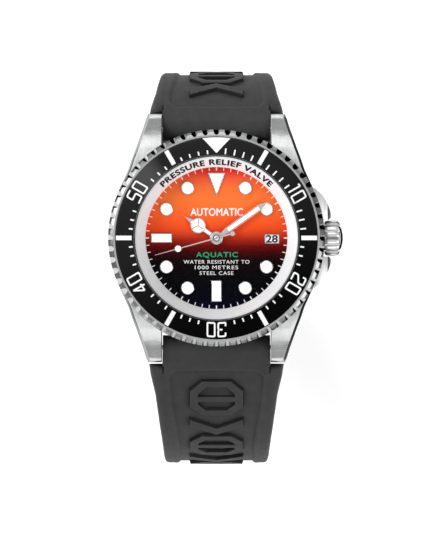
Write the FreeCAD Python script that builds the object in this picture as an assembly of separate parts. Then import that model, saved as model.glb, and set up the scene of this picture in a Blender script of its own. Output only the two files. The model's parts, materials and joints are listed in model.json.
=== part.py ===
import FreeCAD, Part
import math
import os

# Self-winding wrist watch with a turning bezel, a relief valve and a two-piece strap.
# Millimetres. +Z points out through the crystal, +Y to 12 o'clock, +X to 3 o'clock (crown).
# The origin is on the hand axis, on the outer face of the case back.
# Angles are in degrees, counter-clockwise from +X seen from above the crystal.

Vec = FreeCAD.Vector
CENTRE = (0.0, 0.0)
BUILDERS = []


# ---- helpers
def piece(build):
    """Lists a builder; its piece takes the name of the function."""
    BUILDERS.append(build)
    return build


def polar(radius, angle, centre=CENTRE):
    turn = math.radians(angle)
    return (centre[0] + radius * math.cos(turn), centre[1] + radius * math.sin(turn))


def bearing(start, end):
    return math.degrees(math.atan2(end[1] - start[1], end[0] - start[0]))


def interp(table, x):
    for (xa, ya), (xb, yb) in zip(table, table[1:]):
        if x <= xb:
            return ya + (yb - ya) * max(0.0, x - xa) / (xb - xa)
    return table[-1][1]


def cyl(radius, z0, z1, centre=CENTRE):
    return Part.makeCylinder(radius, z1 - z0, Vec(centre[0], centre[1], z0), Vec(0, 0, 1))


def cyl_x(radius, x0, x1, axis=CENTRE):
    """Cylinder along X; axis is its (y, z)."""
    return Part.makeCylinder(radius, x1 - x0, Vec(x0, axis[0], axis[1]), Vec(1, 0, 0))


def ring(outer, inner, z0, z1, centre=CENTRE):
    return cyl(outer, z0, z1, centre).cut(cyl(inner, z0 - 1, z1 + 1, centre))


def ring_x(outer, inner, x0, x1, axis):
    return cyl_x(outer, x0, x1, axis).cut(cyl_x(inner, x0 - 1, x1 + 1, axis))


def box(x0, x1, y0, y1, z0, z1):
    return Part.makeBox(x1 - x0, y1 - y0, z1 - z0, Vec(x0, y0, z0))


def slab(rect, z0, z1, inset=0.0):
    """Box over rect (x0, x1, y0, y1), drawn in by inset on every side."""
    x0, x1, y0, y1 = rect
    return box(x0 + inset, x1 - inset, y0 + inset, y1 - inset, z0, z1)


def wire(points):
    return Part.makePolygon(points + points[:1])


def prism(outline, z0, z1):
    face = Part.Face(wire([Vec(x, y, z0) for x, y in outline]))
    return face.extrude(Vec(0, 0, z1 - z0))


def lathe(profile):
    """Turns a closed (radius, z) profile about Z."""
    face = Part.Face(wire([Vec(radius, 0, z) for radius, z in profile]))
    return face.revolve(Vec(0, 0, 0), Vec(0, 0, 1), 360)


def sector(start, end, z0, z1):
    return prism([CENTRE, polar(40, start), polar(40, end)], z0, z1)


def fuse(shapes):
    return shapes[0].multiFuse(shapes[1:]).removeSplitter()


def cut_each(shape, tools):
    for tool in tools:
        shape = shape.cut(tool)
    return shape


def turned(shape, angle, centre=CENTRE):
    shape.rotate(Vec(centre[0], centre[1], 0), Vec(0, 0, 1), angle)
    return shape


def moved(shape, centre):
    shape.translate(Vec(centre[0], centre[1], 0))
    return shape


def array(tool, count, start=0.0):
    """Compound of count copies of tool, evenly spaced about Z."""
    return Part.makeCompound([turned(tool.copy(), start + 360.0 * i / count)
                              for i in range(count)])


def mirror_x(shape):
    return shape.mirror(Vec(0, 0, 0), Vec(1, 0, 0))


def mirror_y(shape):
    return shape.mirror(Vec(0, 0, 0), Vec(0, 1, 0))


# ---- shared dimensions
CASE_BOTTOM, CASE_TOP = 1.2, 10.5
NECK_INNER_R = 17.2     # neck that holds the crystal
CRYSTAL_R = 16.6
CAVITY_R = 16.6
LEDGE_Z = 11.5          # seat of the crystal
BACK_GROOVE = (18.2, 17.3)      # outer and inner radius of the case back gasket groove
BACK_SEAT_Z = 1.7
CROWN_AXIS = (0.0, 5.8)         # y, z
BAR_Y, BAR_Z = 22.3, 3.2        # spring bar axes
BEZEL_TOP = 13.9
DIAL_BOTTOM, DIAL_TOP = 8.1, 8.5


def bar_axis(side):
    """(y, z) of a spring bar; side is 1 at 12 o'clock, -1 at 6 o'clock."""
    return (side * BAR_Y, BAR_Z)


# ---- middle case
CASE_R = 21.3           # barrel of the case under the bezel
NECK_R, NECK_TOP = 18.8, 13.0
BACK_BORE_R, BACK_BORE_TOP = 17.05, 3.2
LUG_INNER_X = 22.2 / 2  # half the gap between the lugs
LUG_TIP_R = 3.1         # rounding of a lug about its spring bar
LUG_BEVEL = 0.55

# (y, outer x), (y, top z) and (y, bottom z) along a lug
LUG_OUTER = [(9.0, 20.2), (12.1, 18.75), (14.1, 17.85), (16.1, 17.2), (18.2, 16.4),
             (20.2, 15.7), (22.2, 15.0), (24.2, 14.4), (26.0, 13.7)]
LUG_TOP = [(9.0, 10.35), (16.0, 10.2), (18.6, 9.75), (20.4, 8.95), (22.0, 7.75),
           (23.3, 6.5), (24.49, 5.39)]
LUG_BOTTOM = [(9.0, 1.3), (16.0, 1.0), (20.0, 0.35), (22.3, 0.1)]
# y of the lofted sections
LUG_STATIONS = [9.0, 12.1, 14.1, 16.1, 17.4, 18.6, 19.5, 20.4, 21.3, 22.3, 23.0, 23.7,
                24.2, 24.49, 24.8, 25.05, 25.22, 25.34]
# crown guard: (x, y) plan and (x, z) side outline
GUARD_PLAN = [(17.5, 3.75), (22.9, 3.75), (23.35, 4.3), (23.2, 5.4), (22.6, 7.0),
              (21.6, 8.7), (20.0, 10.2), (17.5, 10.2)]
GUARD_SIDE = [(16, 3.2), (20.5, 2.4), (22.3, 2.6), (23.4, 3.8), (23.4, 7.9),
              (22.6, 9.4), (21.0, 9.9), (16, 9.9)]


def lug_section(y):
    """X-Z section of a lug; past the tables it follows the tip rounding."""
    from_bar = y - BAR_Y
    if y <= LUG_TOP[-1][0]:
        top = interp(LUG_TOP, y)
    else:
        top = BAR_Z + math.sqrt(LUG_TIP_R ** 2 - from_bar ** 2)
    if from_bar <= 0:
        low = interp(LUG_BOTTOM, y)
    else:
        low = BAR_Z - math.sqrt(LUG_TIP_R ** 2 - from_bar ** 2)
    outer, inner = interp(LUG_OUTER, y), LUG_INNER_X
    bevel = LUG_BEVEL * min(1.0, (top - low) / 3.0)
    outline = [(inner, low + 0.1), (inner, top - 0.12), (inner + 0.12, top),
               (outer - bevel, top), (outer, top - bevel),
               (outer, low + 0.4 * bevel), (outer - 0.4 * bevel, low), (inner + 0.1, low)]
    return wire([Vec(x, y, z) for x, z in outline])


def crown_guard():
    side = Part.Face(wire([Vec(x, 0, z) for x, z in GUARD_SIDE]))
    return prism(GUARD_PLAN, 2.4, 9.9).common(side.extrude(Vec(0, 12, 0)))


@piece
def mid_case():
    body = lathe([(BACK_BORE_R, CASE_BOTTOM), (19.6, CASE_BOTTOM), (CASE_R, 2.9),
                  (CASE_R, 9.7), (20.6, CASE_TOP), (NECK_R, CASE_TOP), (NECK_R, NECK_TOP),
                  (NECK_INNER_R, NECK_TOP), (NECK_INNER_R, LEDGE_Z), (CAVITY_R, LEDGE_Z),
                  (CAVITY_R, BACK_BORE_TOP), (BACK_BORE_R, BACK_BORE_TOP)])
    lug = Part.makeLoft([lug_section(y) for y in LUG_STATIONS], True, True)
    guard = crown_guard()
    body = fuse([body, lug, mirror_x(lug), mirror_y(lug), mirror_x(mirror_y(lug)),
                 guard, mirror_y(guard)])
    return cut_each(body, [
        cyl(BACK_BORE_R, -1, BACK_BORE_TOP),
        cyl(18.65, -1, CASE_BOTTOM),
        cyl(CAVITY_R, 0, 12),
        ring(*BACK_GROOVE, CASE_BOTTOM - 1, BACK_SEAT_Z),
        # gaps between the lugs
        box(-LUG_INNER_X, LUG_INNER_X, 19.6, 30, -1, CASE_TOP),
        box(-LUG_INNER_X, LUG_INNER_X, -30, -19.6, -1, CASE_TOP),
        # bore for the crown tube and recess for the crown
        cyl_x(1.5, 12, 24, CROWN_AXIS),
        cyl_x(4.0, 21.6, 26, CROWN_AXIS),
        # stepped bore for the relief valve
        cyl_x(2.12, -25, -20.3, CROWN_AXIS),
        cyl_x(1.5, -20.4, -18.2, CROWN_AXIS),
        cyl_x(1.0, -18.3, -15, CROWN_AXIS),
        # pocket of the bezel click spring
        ring(20.45, 19.5, 10.2, 11).common(sector(250, 290, 9, 12)),
        # spring bar holes
        cyl_x(0.5, -12.1, 12.1, bar_axis(1)),
        cyl_x(0.5, -12.1, 12.1, bar_axis(-1))])


# ---- crystal, rehaut and case back
@piece
def crystal():
    return lathe([(0, LEDGE_Z), (CRYSTAL_R, LEDGE_Z), (CRYSTAL_R, 14.2), (16.1, 14.75),
                  (10, 14.9), (0, 14.95)])


@piece
def crystal_gasket():
    return ring(NECK_INNER_R, CRYSTAL_R, LEDGE_Z, 12.9)


@piece
def rehaut_ring():
    return lathe([(14.45, DIAL_TOP), (16.55, DIAL_TOP), (16.55, 11.45), (16.3, 11.45),
                  (14.45, 8.8)])


@piece
def case_back():
    back = lathe([(0, 0), (18.0, 0), (18.6, 0.5), (18.6, CASE_BOTTOM), (17.0, CASE_BOTTOM),
                  (17.0, 3.15), (15.9, 3.15), (15.9, 1.7), (0, 1.7)])
    wrench_notch = box(16.2, 20, -1.1, 1.1, -1, 0.7)
    return back.cut(array(wrench_notch, 6, 30))


@piece
def case_back_gasket():
    return ring(*BACK_GROOVE, CASE_BOTTOM, BACK_SEAT_Z)


# ---- bezel
BEZEL_R = 22.0
BEZEL_BORE_R = 18.85
INSERT_SEAT_Z = 13.45
SCOOPS = 60             # grip scoops round the bezel
SCOOP_R = 0.64
SCOOP_TILT = 24.0


@piece
def bezel_ring():
    body = lathe([(BEZEL_BORE_R, 10.7), (21.75, 10.7), (BEZEL_R, 10.95), (BEZEL_R, 12.95),
                  (21.55, 13.55), (20.95, BEZEL_TOP), (20.6, BEZEL_TOP),
                  (20.6, INSERT_SEAT_Z), (16.75, INSERT_SEAT_Z), (16.75, 13.05),
                  (BEZEL_BORE_R, 13.05), (BEZEL_BORE_R, 12.4), (19.5, 12.4), (19.5, 11.8),
                  (BEZEL_BORE_R, 11.8)])
    # the axis leans outwards as it goes down, so the floor of the scoop slopes
    lean = math.radians(SCOOP_TILT)
    axis = Vec(math.sin(lean), 0, -math.cos(lean))
    scoop = Part.makeCylinder(SCOOP_R, 6.0, Vec(21.62, 0, BEZEL_TOP) - axis * 1.5, axis)
    return body.cut(array(scoop, SCOOPS))


@piece
def bezel_insert():
    return lathe([(16.8, INSERT_SEAT_Z), (20.55, INSERT_SEAT_Z), (20.55, 13.85),
                  (16.8, 14.15)])


@piece
def bezel_gasket():
    return ring(19.45, 18.9, 11.85, 12.35)


@piece
def bezel_click_spring():
    return ring(20.3, 19.7, 10.25, 10.62).common(sector(254, 286, 9, 12))


# ---- gears
def gear(module, teeth, centre, z0, z1, tooth_at, thick=0.80):
    """Toothed disc with a tooth centred on the angle tooth_at."""
    pitch_r = module * teeth / 2.0
    tip_r, root_r = pitch_r + 0.85 * module, pitch_r - 1.15 * module
    half = 90.0 / teeth * thick
    corners = ((root_r, -1.25), (tip_r, -0.45), (tip_r, 0.45), (root_r, 1.25))
    outline = [polar(radius, tooth_at + 360.0 * i / teeth + step * half, centre)
               for i in range(teeth) for radius, step in corners]
    return prism(outline, z0, z1)


def gap_towards(start, end, teeth):
    """tooth_at for a gear at start that turns a gap between teeth towards end."""
    return bearing(start, end) + 180.0 / teeth


def spoked(shape, centre, inner, outer, z0, z1, count=4, width=0.5, start=0.0):
    """Opens a wheel between two radii, leaving count arms."""
    opening = ring(outer, inner, z0 - 0.01, z1 + 0.01, centre)
    spoke = box(0, outer + 1, -width / 2, width / 2, z0 - 0.5, z1 + 0.5)
    return shape.cut(opening.cut(moved(array(spoke, count, start), centre)))


# ---- crown, stem and relief valve
CROWN_R = 3.5
CROWN_FLUTES = 22
VALVE_TURNS, VALVE_STEPS = 4, 24        # coil turns, sections per turn
VALVE_WIRE, VALVE_COIL_R, VALVE_COIL_LENGTH = 0.2, 1.21, 1.8


def on_crown_axis(shape):
    """Turns a shape made about Z onto the crown axis, its z becoming x."""
    shape.rotate(Vec(0, 0, 0), Vec(0, 1, 0), 90)
    shape.translate(Vec(0, *CROWN_AXIS))
    return shape


@piece
def crown():
    head = lathe([(0, 22.0), (3.1, 22.0), (CROWN_R, 22.4), (CROWN_R, 24.7), (3.1, 25.15),
                  (1.8, 25.3), (0, 25.35)])
    flutes = [cyl(0.34, 21, 27, polar(3.72, 360.0 * i / CROWN_FLUTES))
              for i in range(CROWN_FLUTES)]
    head = head.cut(Part.makeCompound(flutes)).cut(cyl(1.75, 21, 23.4))
    head = fuse([head, cyl(0.95, 19.5, 23.6)])
    gasket_groove = ring(1.2, 0.75, 20.5, 21.1)
    return on_crown_axis(head.cut(gasket_groove))


@piece
def winding_stem():
    return cyl_x(0.5, 6.4, 19.5, CROWN_AXIS)


@piece
def crown_gasket():
    return ring_x(1.01, 0.75, 20.55, 21.05, CROWN_AXIS)


@piece
def crown_tube():
    return ring_x(1.5, 1.05, 16.8, 22.7, CROWN_AXIS)


@piece
def clutch_wheel():
    sleeve = ring_x(1.2, 0.55, 9.95, 11.3, CROWN_AXIS)
    return sleeve.cut(ring_x(2, 0.95, 10.45, 10.85, CROWN_AXIS))


@piece
def winding_pinion():
    pinion = gear(0.2, 12, CENTRE, 8.85, 9.45, 0.0, thick=0.68)
    return on_crown_axis(pinion.cut(cyl(0.55, 8, 10)))


@piece
def relief_valve():
    return fuse([cyl_x(2.05, -21.2, -20.35, CROWN_AXIS),
                 cyl_x(0.92, -20.4, -17.4, CROWN_AXIS)])


@piece
def relief_valve_spring():
    """Ruled loft of small squares that stand across the wire."""
    sections = []
    total = VALVE_TURNS * VALVE_STEPS
    along = Vec(VALVE_WIRE / 2, 0, 0)
    for i in range(total + 1):
        turn = 2 * math.pi * i / VALVE_STEPS
        radial = Vec(0, math.cos(turn), math.sin(turn))
        middle = Vec(-20.2 + VALVE_COIL_LENGTH * i / total, *CROWN_AXIS)
        middle = middle + radial * VALVE_COIL_R
        out = radial * (VALVE_WIRE / 2)
        sections.append(wire([middle + out + along, middle - out + along,
                              middle - out - along, middle + out - along]))
    return Part.makeLoft(sections, True, True)


# ---- dial and markers
FRAME_TOP, LUME_TOP = 8.9, 8.82
FRAME_WALL = 0.16
DOT_R, DOT_LUME_R = 1.34, 1.18
DOTS = [polar(11.75, 90 - 30 * hour) for hour in (1, 2, 4, 5, 7, 8, 10, 11)]
# 12 o'clock triangle, outside and inside of its frame
TRIANGLE = [(-1.78, 13.27), (1.78, 13.27), (0.0, 8.57)]
TRIANGLE_LUME = [(-1.5, 13.1), (1.5, 13.1), (0.0, 9.05)]
# x0, x1, y0, y1
BATONS = [(-1.03, 1.03, -12.95, -8.66), (-13.3, -9.05, -0.93, 0.93)]    # 6 and 9 o'clock
DATE_FRAME = (9.6, 12.95, -1.3, 0.95)
DATE_FRAME_WALL = 0.2


def date_window():
    return slab(DATE_FRAME, 8, 9, DATE_FRAME_WALL)


@piece
def dial():
    return cyl(15.0, DIAL_BOTTOM, DIAL_TOP).cut(cyl(1.05, 8, 9)).cut(date_window())


@piece
def hour_markers():
    frames = [ring(DOT_R, DOT_LUME_R, DIAL_TOP, FRAME_TOP, dot) for dot in DOTS]
    frames.append(prism(TRIANGLE, DIAL_TOP, FRAME_TOP).cut(prism(TRIANGLE_LUME, 8, 9)))
    for rect in BATONS:
        frames.append(slab(rect, DIAL_TOP, FRAME_TOP).cut(slab(rect, 8, 9, FRAME_WALL)))
    frames.append(slab(DATE_FRAME, DIAL_TOP, 8.75).cut(date_window()))
    return Part.makeCompound(frames)


@piece
def marker_lume():
    fills = [cyl(DOT_LUME_R, DIAL_TOP, LUME_TOP, dot) for dot in DOTS]
    fills.append(prism(TRIANGLE_LUME, DIAL_TOP, LUME_TOP))
    fills += [slab(rect, DIAL_TOP, LUME_TOP, FRAME_WALL) for rect in BATONS]
    return Part.makeCompound(fills)


# ---- hands, drawn along +X and turned
HOUR_ANGLE = 90 - 304.0
MINUTE_ANGLE = 90 - 54.7
SECOND_ANGLE = 90 - 254.4
HOUR_HAND = (8.95, 9.15)        # z0, z1
MINUTE_HAND = (9.4, 9.58)
SECOND_HAND = (9.85, 9.97)


@piece
def hour_hand():
    eye = (4.5, 0)
    spokes = [turned(box(4.5, 6.0, -0.1, 0.1, *HOUR_HAND), angle, eye)
              for angle in (60, 180, 300)]
    stem = [(1.15, -0.42), (3.05, -0.42), (3.05, 0.42), (1.15, 0.42)]
    tip = [(5.95, -0.42), (7.8, 0.0), (5.95, 0.42)]
    hand = fuse([ring(1.3, 0.96, *HOUR_HAND),
                 turned(ring(1.55, 1.3, *HOUR_HAND, eye), HOUR_ANGLE),
                 turned(prism(stem, *HOUR_HAND), HOUR_ANGLE),
                 turned(prism(tip, *HOUR_HAND), HOUR_ANGLE),
                 turned(fuse([cyl(0.22, *HOUR_HAND, eye)] + spokes), HOUR_ANGLE)])
    return hand.cut(cyl(0.96, 8, 10))


@piece
def minute_hand():
    blade = [(1.0, -0.28), (2.8, -0.6), (10.7, -0.6), (12.6, 0), (10.7, 0.6), (2.8, 0.6),
             (1.0, 0.28)]
    hand = fuse([cyl(1.15, *MINUTE_HAND), turned(prism(blade, *MINUTE_HAND), MINUTE_ANGLE)])
    slot = slab((2.8, 10.6, -0.35, 0.35), 9, 10)
    return hand.cut(cyl(0.62, 9, 10)).cut(turned(slot, MINUTE_ANGLE))


@piece
def second_hand():
    blade = [(-3.4, -0.15), (8.2, -0.1), (13.0, -0.05), (13.0, 0.05), (8.2, 0.1),
             (-3.4, 0.15)]
    return fuse([cyl(0.9, *SECOND_HAND),
                 turned(prism(blade, *SECOND_HAND), SECOND_ANGLE),
                 turned(cyl(0.7, *SECOND_HAND, (8.1, 0)), SECOND_ANGLE),
                 turned(cyl(0.5, *SECOND_HAND, (-3.4, 0)), SECOND_ANGLE),
                 cyl(0.45, SECOND_HAND[1], 10.2)])


# ---- movement layout (x, y)
ESCAPE_SPACING = 3.85
THIRD_SPACING = 3.96            # centre to third wheel
FORK_ANGLE = 325                # line of escape wheel, pallet fork and balance
MINUTE_WHEEL_ANGLE = 240
DATE_WHEEL_ANGLE = 130
BARREL = (1.43, 5.337)
THIRD = (-3.721, -1.354)
ESCAPE = polar(ESCAPE_SPACING, 275)
PALLET = polar(2.54, FORK_ANGLE, ESCAPE)
BALANCE = polar(3.4, FORK_ANGLE, PALLET)
CROWN_WHEEL = (6.6, 0.0)
MINUTE = polar(2.88, MINUTE_WHEEL_ANGLE)
DATE = polar(6.912, DATE_WHEEL_ANGLE)
POSTS = [polar(11.75, angle) for angle in (35, 125, 165, 215)]
COCK_POST = (10.6, -4.94)

PLATE_BOTTOM, PLATE_TOP = 6.3, 7.2
BRIDGE = (3.0, 3.5)             # z0, z1 of the bridge and the cock


# ---- plates and bridges
def arm(start, end, width, z0, z1):
    """Straight bar with round ends."""
    turn = math.atan2(end[1] - start[1], end[0] - start[0])
    dx, dy = -math.sin(turn) * width / 2, math.cos(turn) * width / 2
    outline = [(start[0] + dx, start[1] + dy), (end[0] + dx, end[1] + dy),
               (end[0] - dx, end[1] - dy), (start[0] - dx, start[1] - dy)]
    return fuse([prism(outline, z0, z1), cyl(width / 2, z0, z1, start),
                 cyl(width / 2, z0, z1, end)])


def post(centre):
    return cyl(0.9, BRIDGE[1], PLATE_BOTTOM, centre)


def screw_hole(centre):
    return [cyl(0.7, 2, 3.25, centre), cyl(0.4, 3, 6.0, centre)]


@piece
def movement_ring():
    return ring(16.5, 13.1, 3.6, DIAL_BOTTOM).cut(cyl_x(1.25, 12, 18, CROWN_AXIS))


@piece
def mainplate():
    plate = fuse([cyl(13.0, PLATE_BOTTOM, PLATE_TOP), ring(13.0, 12.0, PLATE_TOP, 7.8),
                  cyl(0.3, PLATE_TOP, 7.7, MINUTE), cyl(0.3, PLATE_TOP, 7.7, DATE)])
    pivots = ((0.55, BARREL), (0.25, THIRD), (0.2, ESCAPE), (0.2, PALLET), (0.2, BALANCE))
    stem_slot = box(6.0, 13.5, -1.75, 1.75, 6, 8)
    return cut_each(plate, [cyl(0.72, 6, 8), stem_slot]
                    + [cyl(radius, 6, 6.8, centre) for radius, centre in pivots])


@piece
def train_bridge():
    bridge = fuse([cyl(12.6, *BRIDGE)] + [post(centre) for centre in POSTS]
                  + [cyl(0.6, BRIDGE[1], 4.3, CROWN_WHEEL)])
    tools = [cyl(4.5, 2, 3.6, BALANCE),
             arm(BALANCE, COCK_POST, 3.4, 2, 3.6),
             cyl(3.0, 2, 3.6, (BALANCE[0] + 2.2, BALANCE[1] - 3.2)),
             cyl(0.6, 2, 3.6, THIRD),
             cyl(0.25, 3.1, 4),
             cyl(0.55, 3.1, 4, ESCAPE),
             cyl(0.55, 3.05, 3.6, BARREL)]
    for centre in POSTS:
        tools += screw_hole(centre)
    # the cuts can part off slivers, so only the largest solid is kept
    return max(cut_each(bridge, tools).Solids, key=lambda solid: solid.Volume)


@piece
def balance_cock():
    cock = fuse([arm(BALANCE, COCK_POST, 2.6, *BRIDGE), post(COCK_POST)])
    return cut_each(cock, [cyl(0.55, 2, 4, BALANCE)] + screw_hole(COCK_POST))


@piece
def jewels():
    return Part.makeCompound([ring(0.6, 0.25, 3.0, 3.5, THIRD),
                              ring(0.55, 0.2, 3.1, 3.5, ESCAPE),
                              ring(0.55, 0.2, 3.0, 3.5, BALANCE)])


@piece
def movement_screws():
    screws = []
    for centre in POSTS + [COCK_POST]:
        x, y = centre
        screw = fuse([cyl(0.7, 3.03, 3.25, centre), cyl(0.4, 3.25, 5.9, centre)])
        screws.append(screw.cut(box(x - 1, x + 1, y - 0.1, y + 0.1, 2.9, 3.12)))
    return Part.makeCompound(screws)


# ---- self winding
@piece
def rotor():
    half = prism([(-13, 0), (13, 0), (13, -13), (-13, -13)], 1, 4)
    weight = ring(12.6, 10.2, 1.95, 2.85).common(half)
    web = ring(10.4, 1.9, 1.95, 2.35).common(half)
    return turned(fuse([weight, web, ring(2.3, 1.5, 1.95, 2.6)]), 160)


@piece
def rotor_bearing():
    return ring(1.42, 0.5, 1.95, 3.0)


# ---- going train; modules of the meshing pairs
RATCHET_TEETH, CROWN_TEETH = 45, 29
BARREL_MODULE = 0.13
WINDING_MODULE = math.dist(BARREL, CROWN_WHEEL) * 2.0 / (CROWN_TEETH + RATCHET_TEETH)
CENTRE_MODULE = THIRD_SPACING * 2 / (64 + 8)
THIRD_MODULE = THIRD_SPACING * 2 / (60 + 8)
SECONDS_MODULE = ESCAPE_SPACING * 2 / (84 + 7)
WINDING_LEVEL = (3.95, 4.2)     # z0, z1 of each wheel
CENTRE_LEVEL = (4.45, 4.6)
THIRD_LEVEL = (3.95, 4.15)
SECONDS_LEVEL = (3.6, 3.75)
ESCAPE_LEVEL = (5.0, 5.15)      # escape wheel and pallet fork
BALANCE_LEVEL = (3.8, 4.15)


def spiral(centre, start_r, end_r, turns, width, z0, z1):
    """Flat coiled strip, a corner every 18 degrees."""
    count = int(turns * 360 / 18)
    outer, inner = [], []
    for i in range(count + 1):
        part = i / float(count)
        radius = start_r + (end_r - start_r) * part
        outer.append(polar(radius + width / 2, part * turns * 360, centre))
        inner.append(polar(radius - width / 2, part * turns * 360, centre))
    return prism(outer + inner[::-1], z0, z1)


@piece
def barrel():
    wheel = gear(BARREL_MODULE, 75, BARREL, 5.8, 6.15, bearing(BARREL, CENTRE))
    drum = fuse([wheel, ring(4.6, 4.25, 4.8, 5.8, BARREL), cyl(4.6, 4.8, 4.93, BARREL)])
    return drum.cut(cyl(0.56, 4, 7, BARREL))


@piece
def mainspring():
    return spiral(BARREL, 0.95, 4.1, 7, 0.12, 4.98, 5.72)


@piece
def ratchet_wheel():
    wheel = fuse([gear(WINDING_MODULE, RATCHET_TEETH, BARREL, *WINDING_LEVEL,
                       bearing(BARREL, CROWN_WHEEL)), cyl(0.5, 3.1, 6.7, BARREL)])
    return spoked(wheel, BARREL, 1.3, 3.6, *WINDING_LEVEL, 5, 0.6)


@piece
def crown_wheel():
    wheel = gear(WINDING_MODULE, CROWN_TEETH, CROWN_WHEEL, *WINDING_LEVEL,
                 gap_towards(CROWN_WHEEL, BARREL, CROWN_TEETH))
    slots = array(box(2.0, 3.0, -0.215, 0.215, 4.36, 5), 25)
    face_teeth = ring(2.7, 2.3, 4.2, 4.72, CROWN_WHEEL).cut(moved(slots, CROWN_WHEEL))
    return fuse([wheel, face_teeth]).cut(cyl(0.65, 3, 5, CROWN_WHEEL))


@piece
def centre_wheel():
    """Wheel and pinion on a hollow arbor."""
    wheel = gear(CENTRE_MODULE, 64, CENTRE, *CENTRE_LEVEL, bearing(CENTRE, THIRD))
    wheel = spoked(wheel, CENTRE, 0.9, 3.0, *CENTRE_LEVEL, 4, 0.5, 20)
    pinion = gear(BARREL_MODULE, 10, CENTRE, 5.75, 6.2, gap_towards(BARREL, CENTRE, 10) + 180)
    return fuse([wheel, pinion, cyl(0.45, 4.25, 6.3)]).cut(cyl(0.25, 4, 7))


@piece
def third_wheel():
    wheel = gear(THIRD_MODULE, 60, THIRD, *THIRD_LEVEL, bearing(THIRD, CENTRE))
    wheel = spoked(wheel, THIRD, 0.8, 2.95, *THIRD_LEVEL, 4, 0.5, 40)
    pinion = gear(CENTRE_MODULE, 8, THIRD, 4.4, 4.65, gap_towards(THIRD, CENTRE, 8))
    return fuse([wheel, pinion, cyl(0.2, 3.2, 6.7, THIRD)])


@piece
def seconds_wheel():
    wheel = gear(SECONDS_MODULE, 84, CENTRE, *SECONDS_LEVEL, bearing(CENTRE, ESCAPE))
    wheel = spoked(wheel, CENTRE, 0.7, 2.5, *SECONDS_LEVEL, 4, 0.4, 10)
    pinion = gear(THIRD_MODULE, 8, CENTRE, 3.9, 4.2, gap_towards(CENTRE, THIRD, 8))
    return fuse([wheel, pinion, cyl(0.2, 3.2, SECOND_HAND[0])])


@piece
def escape_wheel():
    # radius and angle of the corners of one leaning tooth
    tooth = ((1.75, 0), (2.2, 9.0), (2.2, 10.5), (1.72, 12.0))
    outline = [polar(radius, 24.0 * i + angle, ESCAPE)
               for i in range(15) for radius, angle in tooth]
    wheel = spoked(prism(outline, *ESCAPE_LEVEL), ESCAPE, 0.5, 1.45, *ESCAPE_LEVEL, 4, 0.3)
    pinion = gear(SECONDS_MODULE, 7, ESCAPE, 3.55, 3.8, gap_towards(ESCAPE, CENTRE, 7))
    return fuse([wheel, pinion, cyl(0.15, 3.2, 6.7, ESCAPE)])


@piece
def pallet_fork():
    arms = [arm(polar(2.62, FORK_ANGLE + side * 30, ESCAPE), PALLET, 0.3, *ESCAPE_LEVEL)
            for side in (-1, 1)]
    lever = arm(PALLET, polar(2.35, FORK_ANGLE, PALLET), 0.36, *ESCAPE_LEVEL)
    return fuse(arms + [lever, cyl(0.15, 4.5, 6.7, PALLET)])


@piece
def balance_wheel():
    rim = spoked(cyl(3.7, *BALANCE_LEVEL, BALANCE), BALANCE, 0.6, 3.2, *BALANCE_LEVEL,
                 3, 0.45, 30)
    roller_pin = polar(0.5, FORK_ANGLE - 180, BALANCE)
    return fuse([rim, cyl(0.15, 3.2, 6.7, BALANCE), cyl(0.68, 4.6, 4.8, BALANCE),
                 cyl(0.09, 4.8, 5.15, roller_pin)])


@piece
def hairspring():
    return spiral(BALANCE, 0.35, 1.9, 6, 0.08, 3.58, 3.7)


# ---- motion work and date under the dial
MINUTE_MODULE, HOUR_MODULE = 0.12, 0.1152
MINUTE_LEVEL = (7.25, 7.42)
HOUR_LEVEL = (7.5, 7.7)
HOUR_TEETH, DATE_TEETH = 40, 80


@piece
def cannon_pinion():
    pinion = gear(MINUTE_MODULE, 12, CENTRE, *MINUTE_LEVEL, MINUTE_WHEEL_ANGLE)
    return fuse([cyl(0.62, 6.3, MINUTE_HAND[1]), pinion]).cut(cyl(0.25, 6, 10))


@piece
def minute_wheel():
    wheel = gear(MINUTE_MODULE, 36, MINUTE, *MINUTE_LEVEL, gap_towards(MINUTE, CENTRE, 36))
    pinion = gear(HOUR_MODULE, 10, MINUTE, 7.42, 7.75, gap_towards(MINUTE, CENTRE, 10))
    return fuse([wheel, pinion]).cut(cyl(0.34, 7, 8, MINUTE))


@piece
def hour_wheel():
    wheel = gear(HOUR_MODULE, HOUR_TEETH, CENTRE, *HOUR_LEVEL, MINUTE_WHEEL_ANGLE)
    return fuse([wheel, cyl(0.95, HOUR_LEVEL[0], HOUR_HAND[1])]).cut(cyl(0.67, 7, 10))


@piece
def date_wheel():
    # angle from the last hour wheel tooth to the line of centres
    past_tooth = (DATE_WHEEL_ANGLE - MINUTE_WHEEL_ANGLE) % (360.0 / HOUR_TEETH)
    tooth_at = DATE_WHEEL_ANGLE + 180 + past_tooth * 0.5 + 180.0 / DATE_TEETH
    wheel = gear(HOUR_MODULE, DATE_TEETH, DATE, *HOUR_LEVEL, tooth_at)
    wheel = spoked(wheel, DATE, 0.9, 3.9, *HOUR_LEVEL, 4, 0.6)
    pin = (DATE[0] + 3.55, DATE[1])
    wheel = fuse([wheel, cyl(0.2, 7.6, 7.95, pin), cyl(0.45, *HOUR_LEVEL, pin)])
    return wheel.cut(cyl(0.34, 7, 8, DATE))


@piece
def date_disc():
    notches = []
    for day in range(31):
        angle = 360.0 * (day + 0.5) / 31
        notches.append(prism([polar(10.2, angle - 3.6), polar(10.85, angle - 0.6),
                              polar(10.85, angle + 0.6), polar(10.2, angle + 3.6)], 7.5, 8.5))
    return ring(12.9, 10.4, 7.85, 8.05).cut(Part.makeCompound(notches))


# ---- spring bars
@piece
def lug_spring_bars():
    return Part.makeCompound([
        cut_each(cyl_x(0.75, -10.2, 10.2, bar_axis(side)),
                 [cyl_x(0.5, -10.3, -7.2, bar_axis(side)),
                  cyl_x(0.5, 7.2, 10.3, bar_axis(side))])
        for side in (1, -1)])


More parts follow.
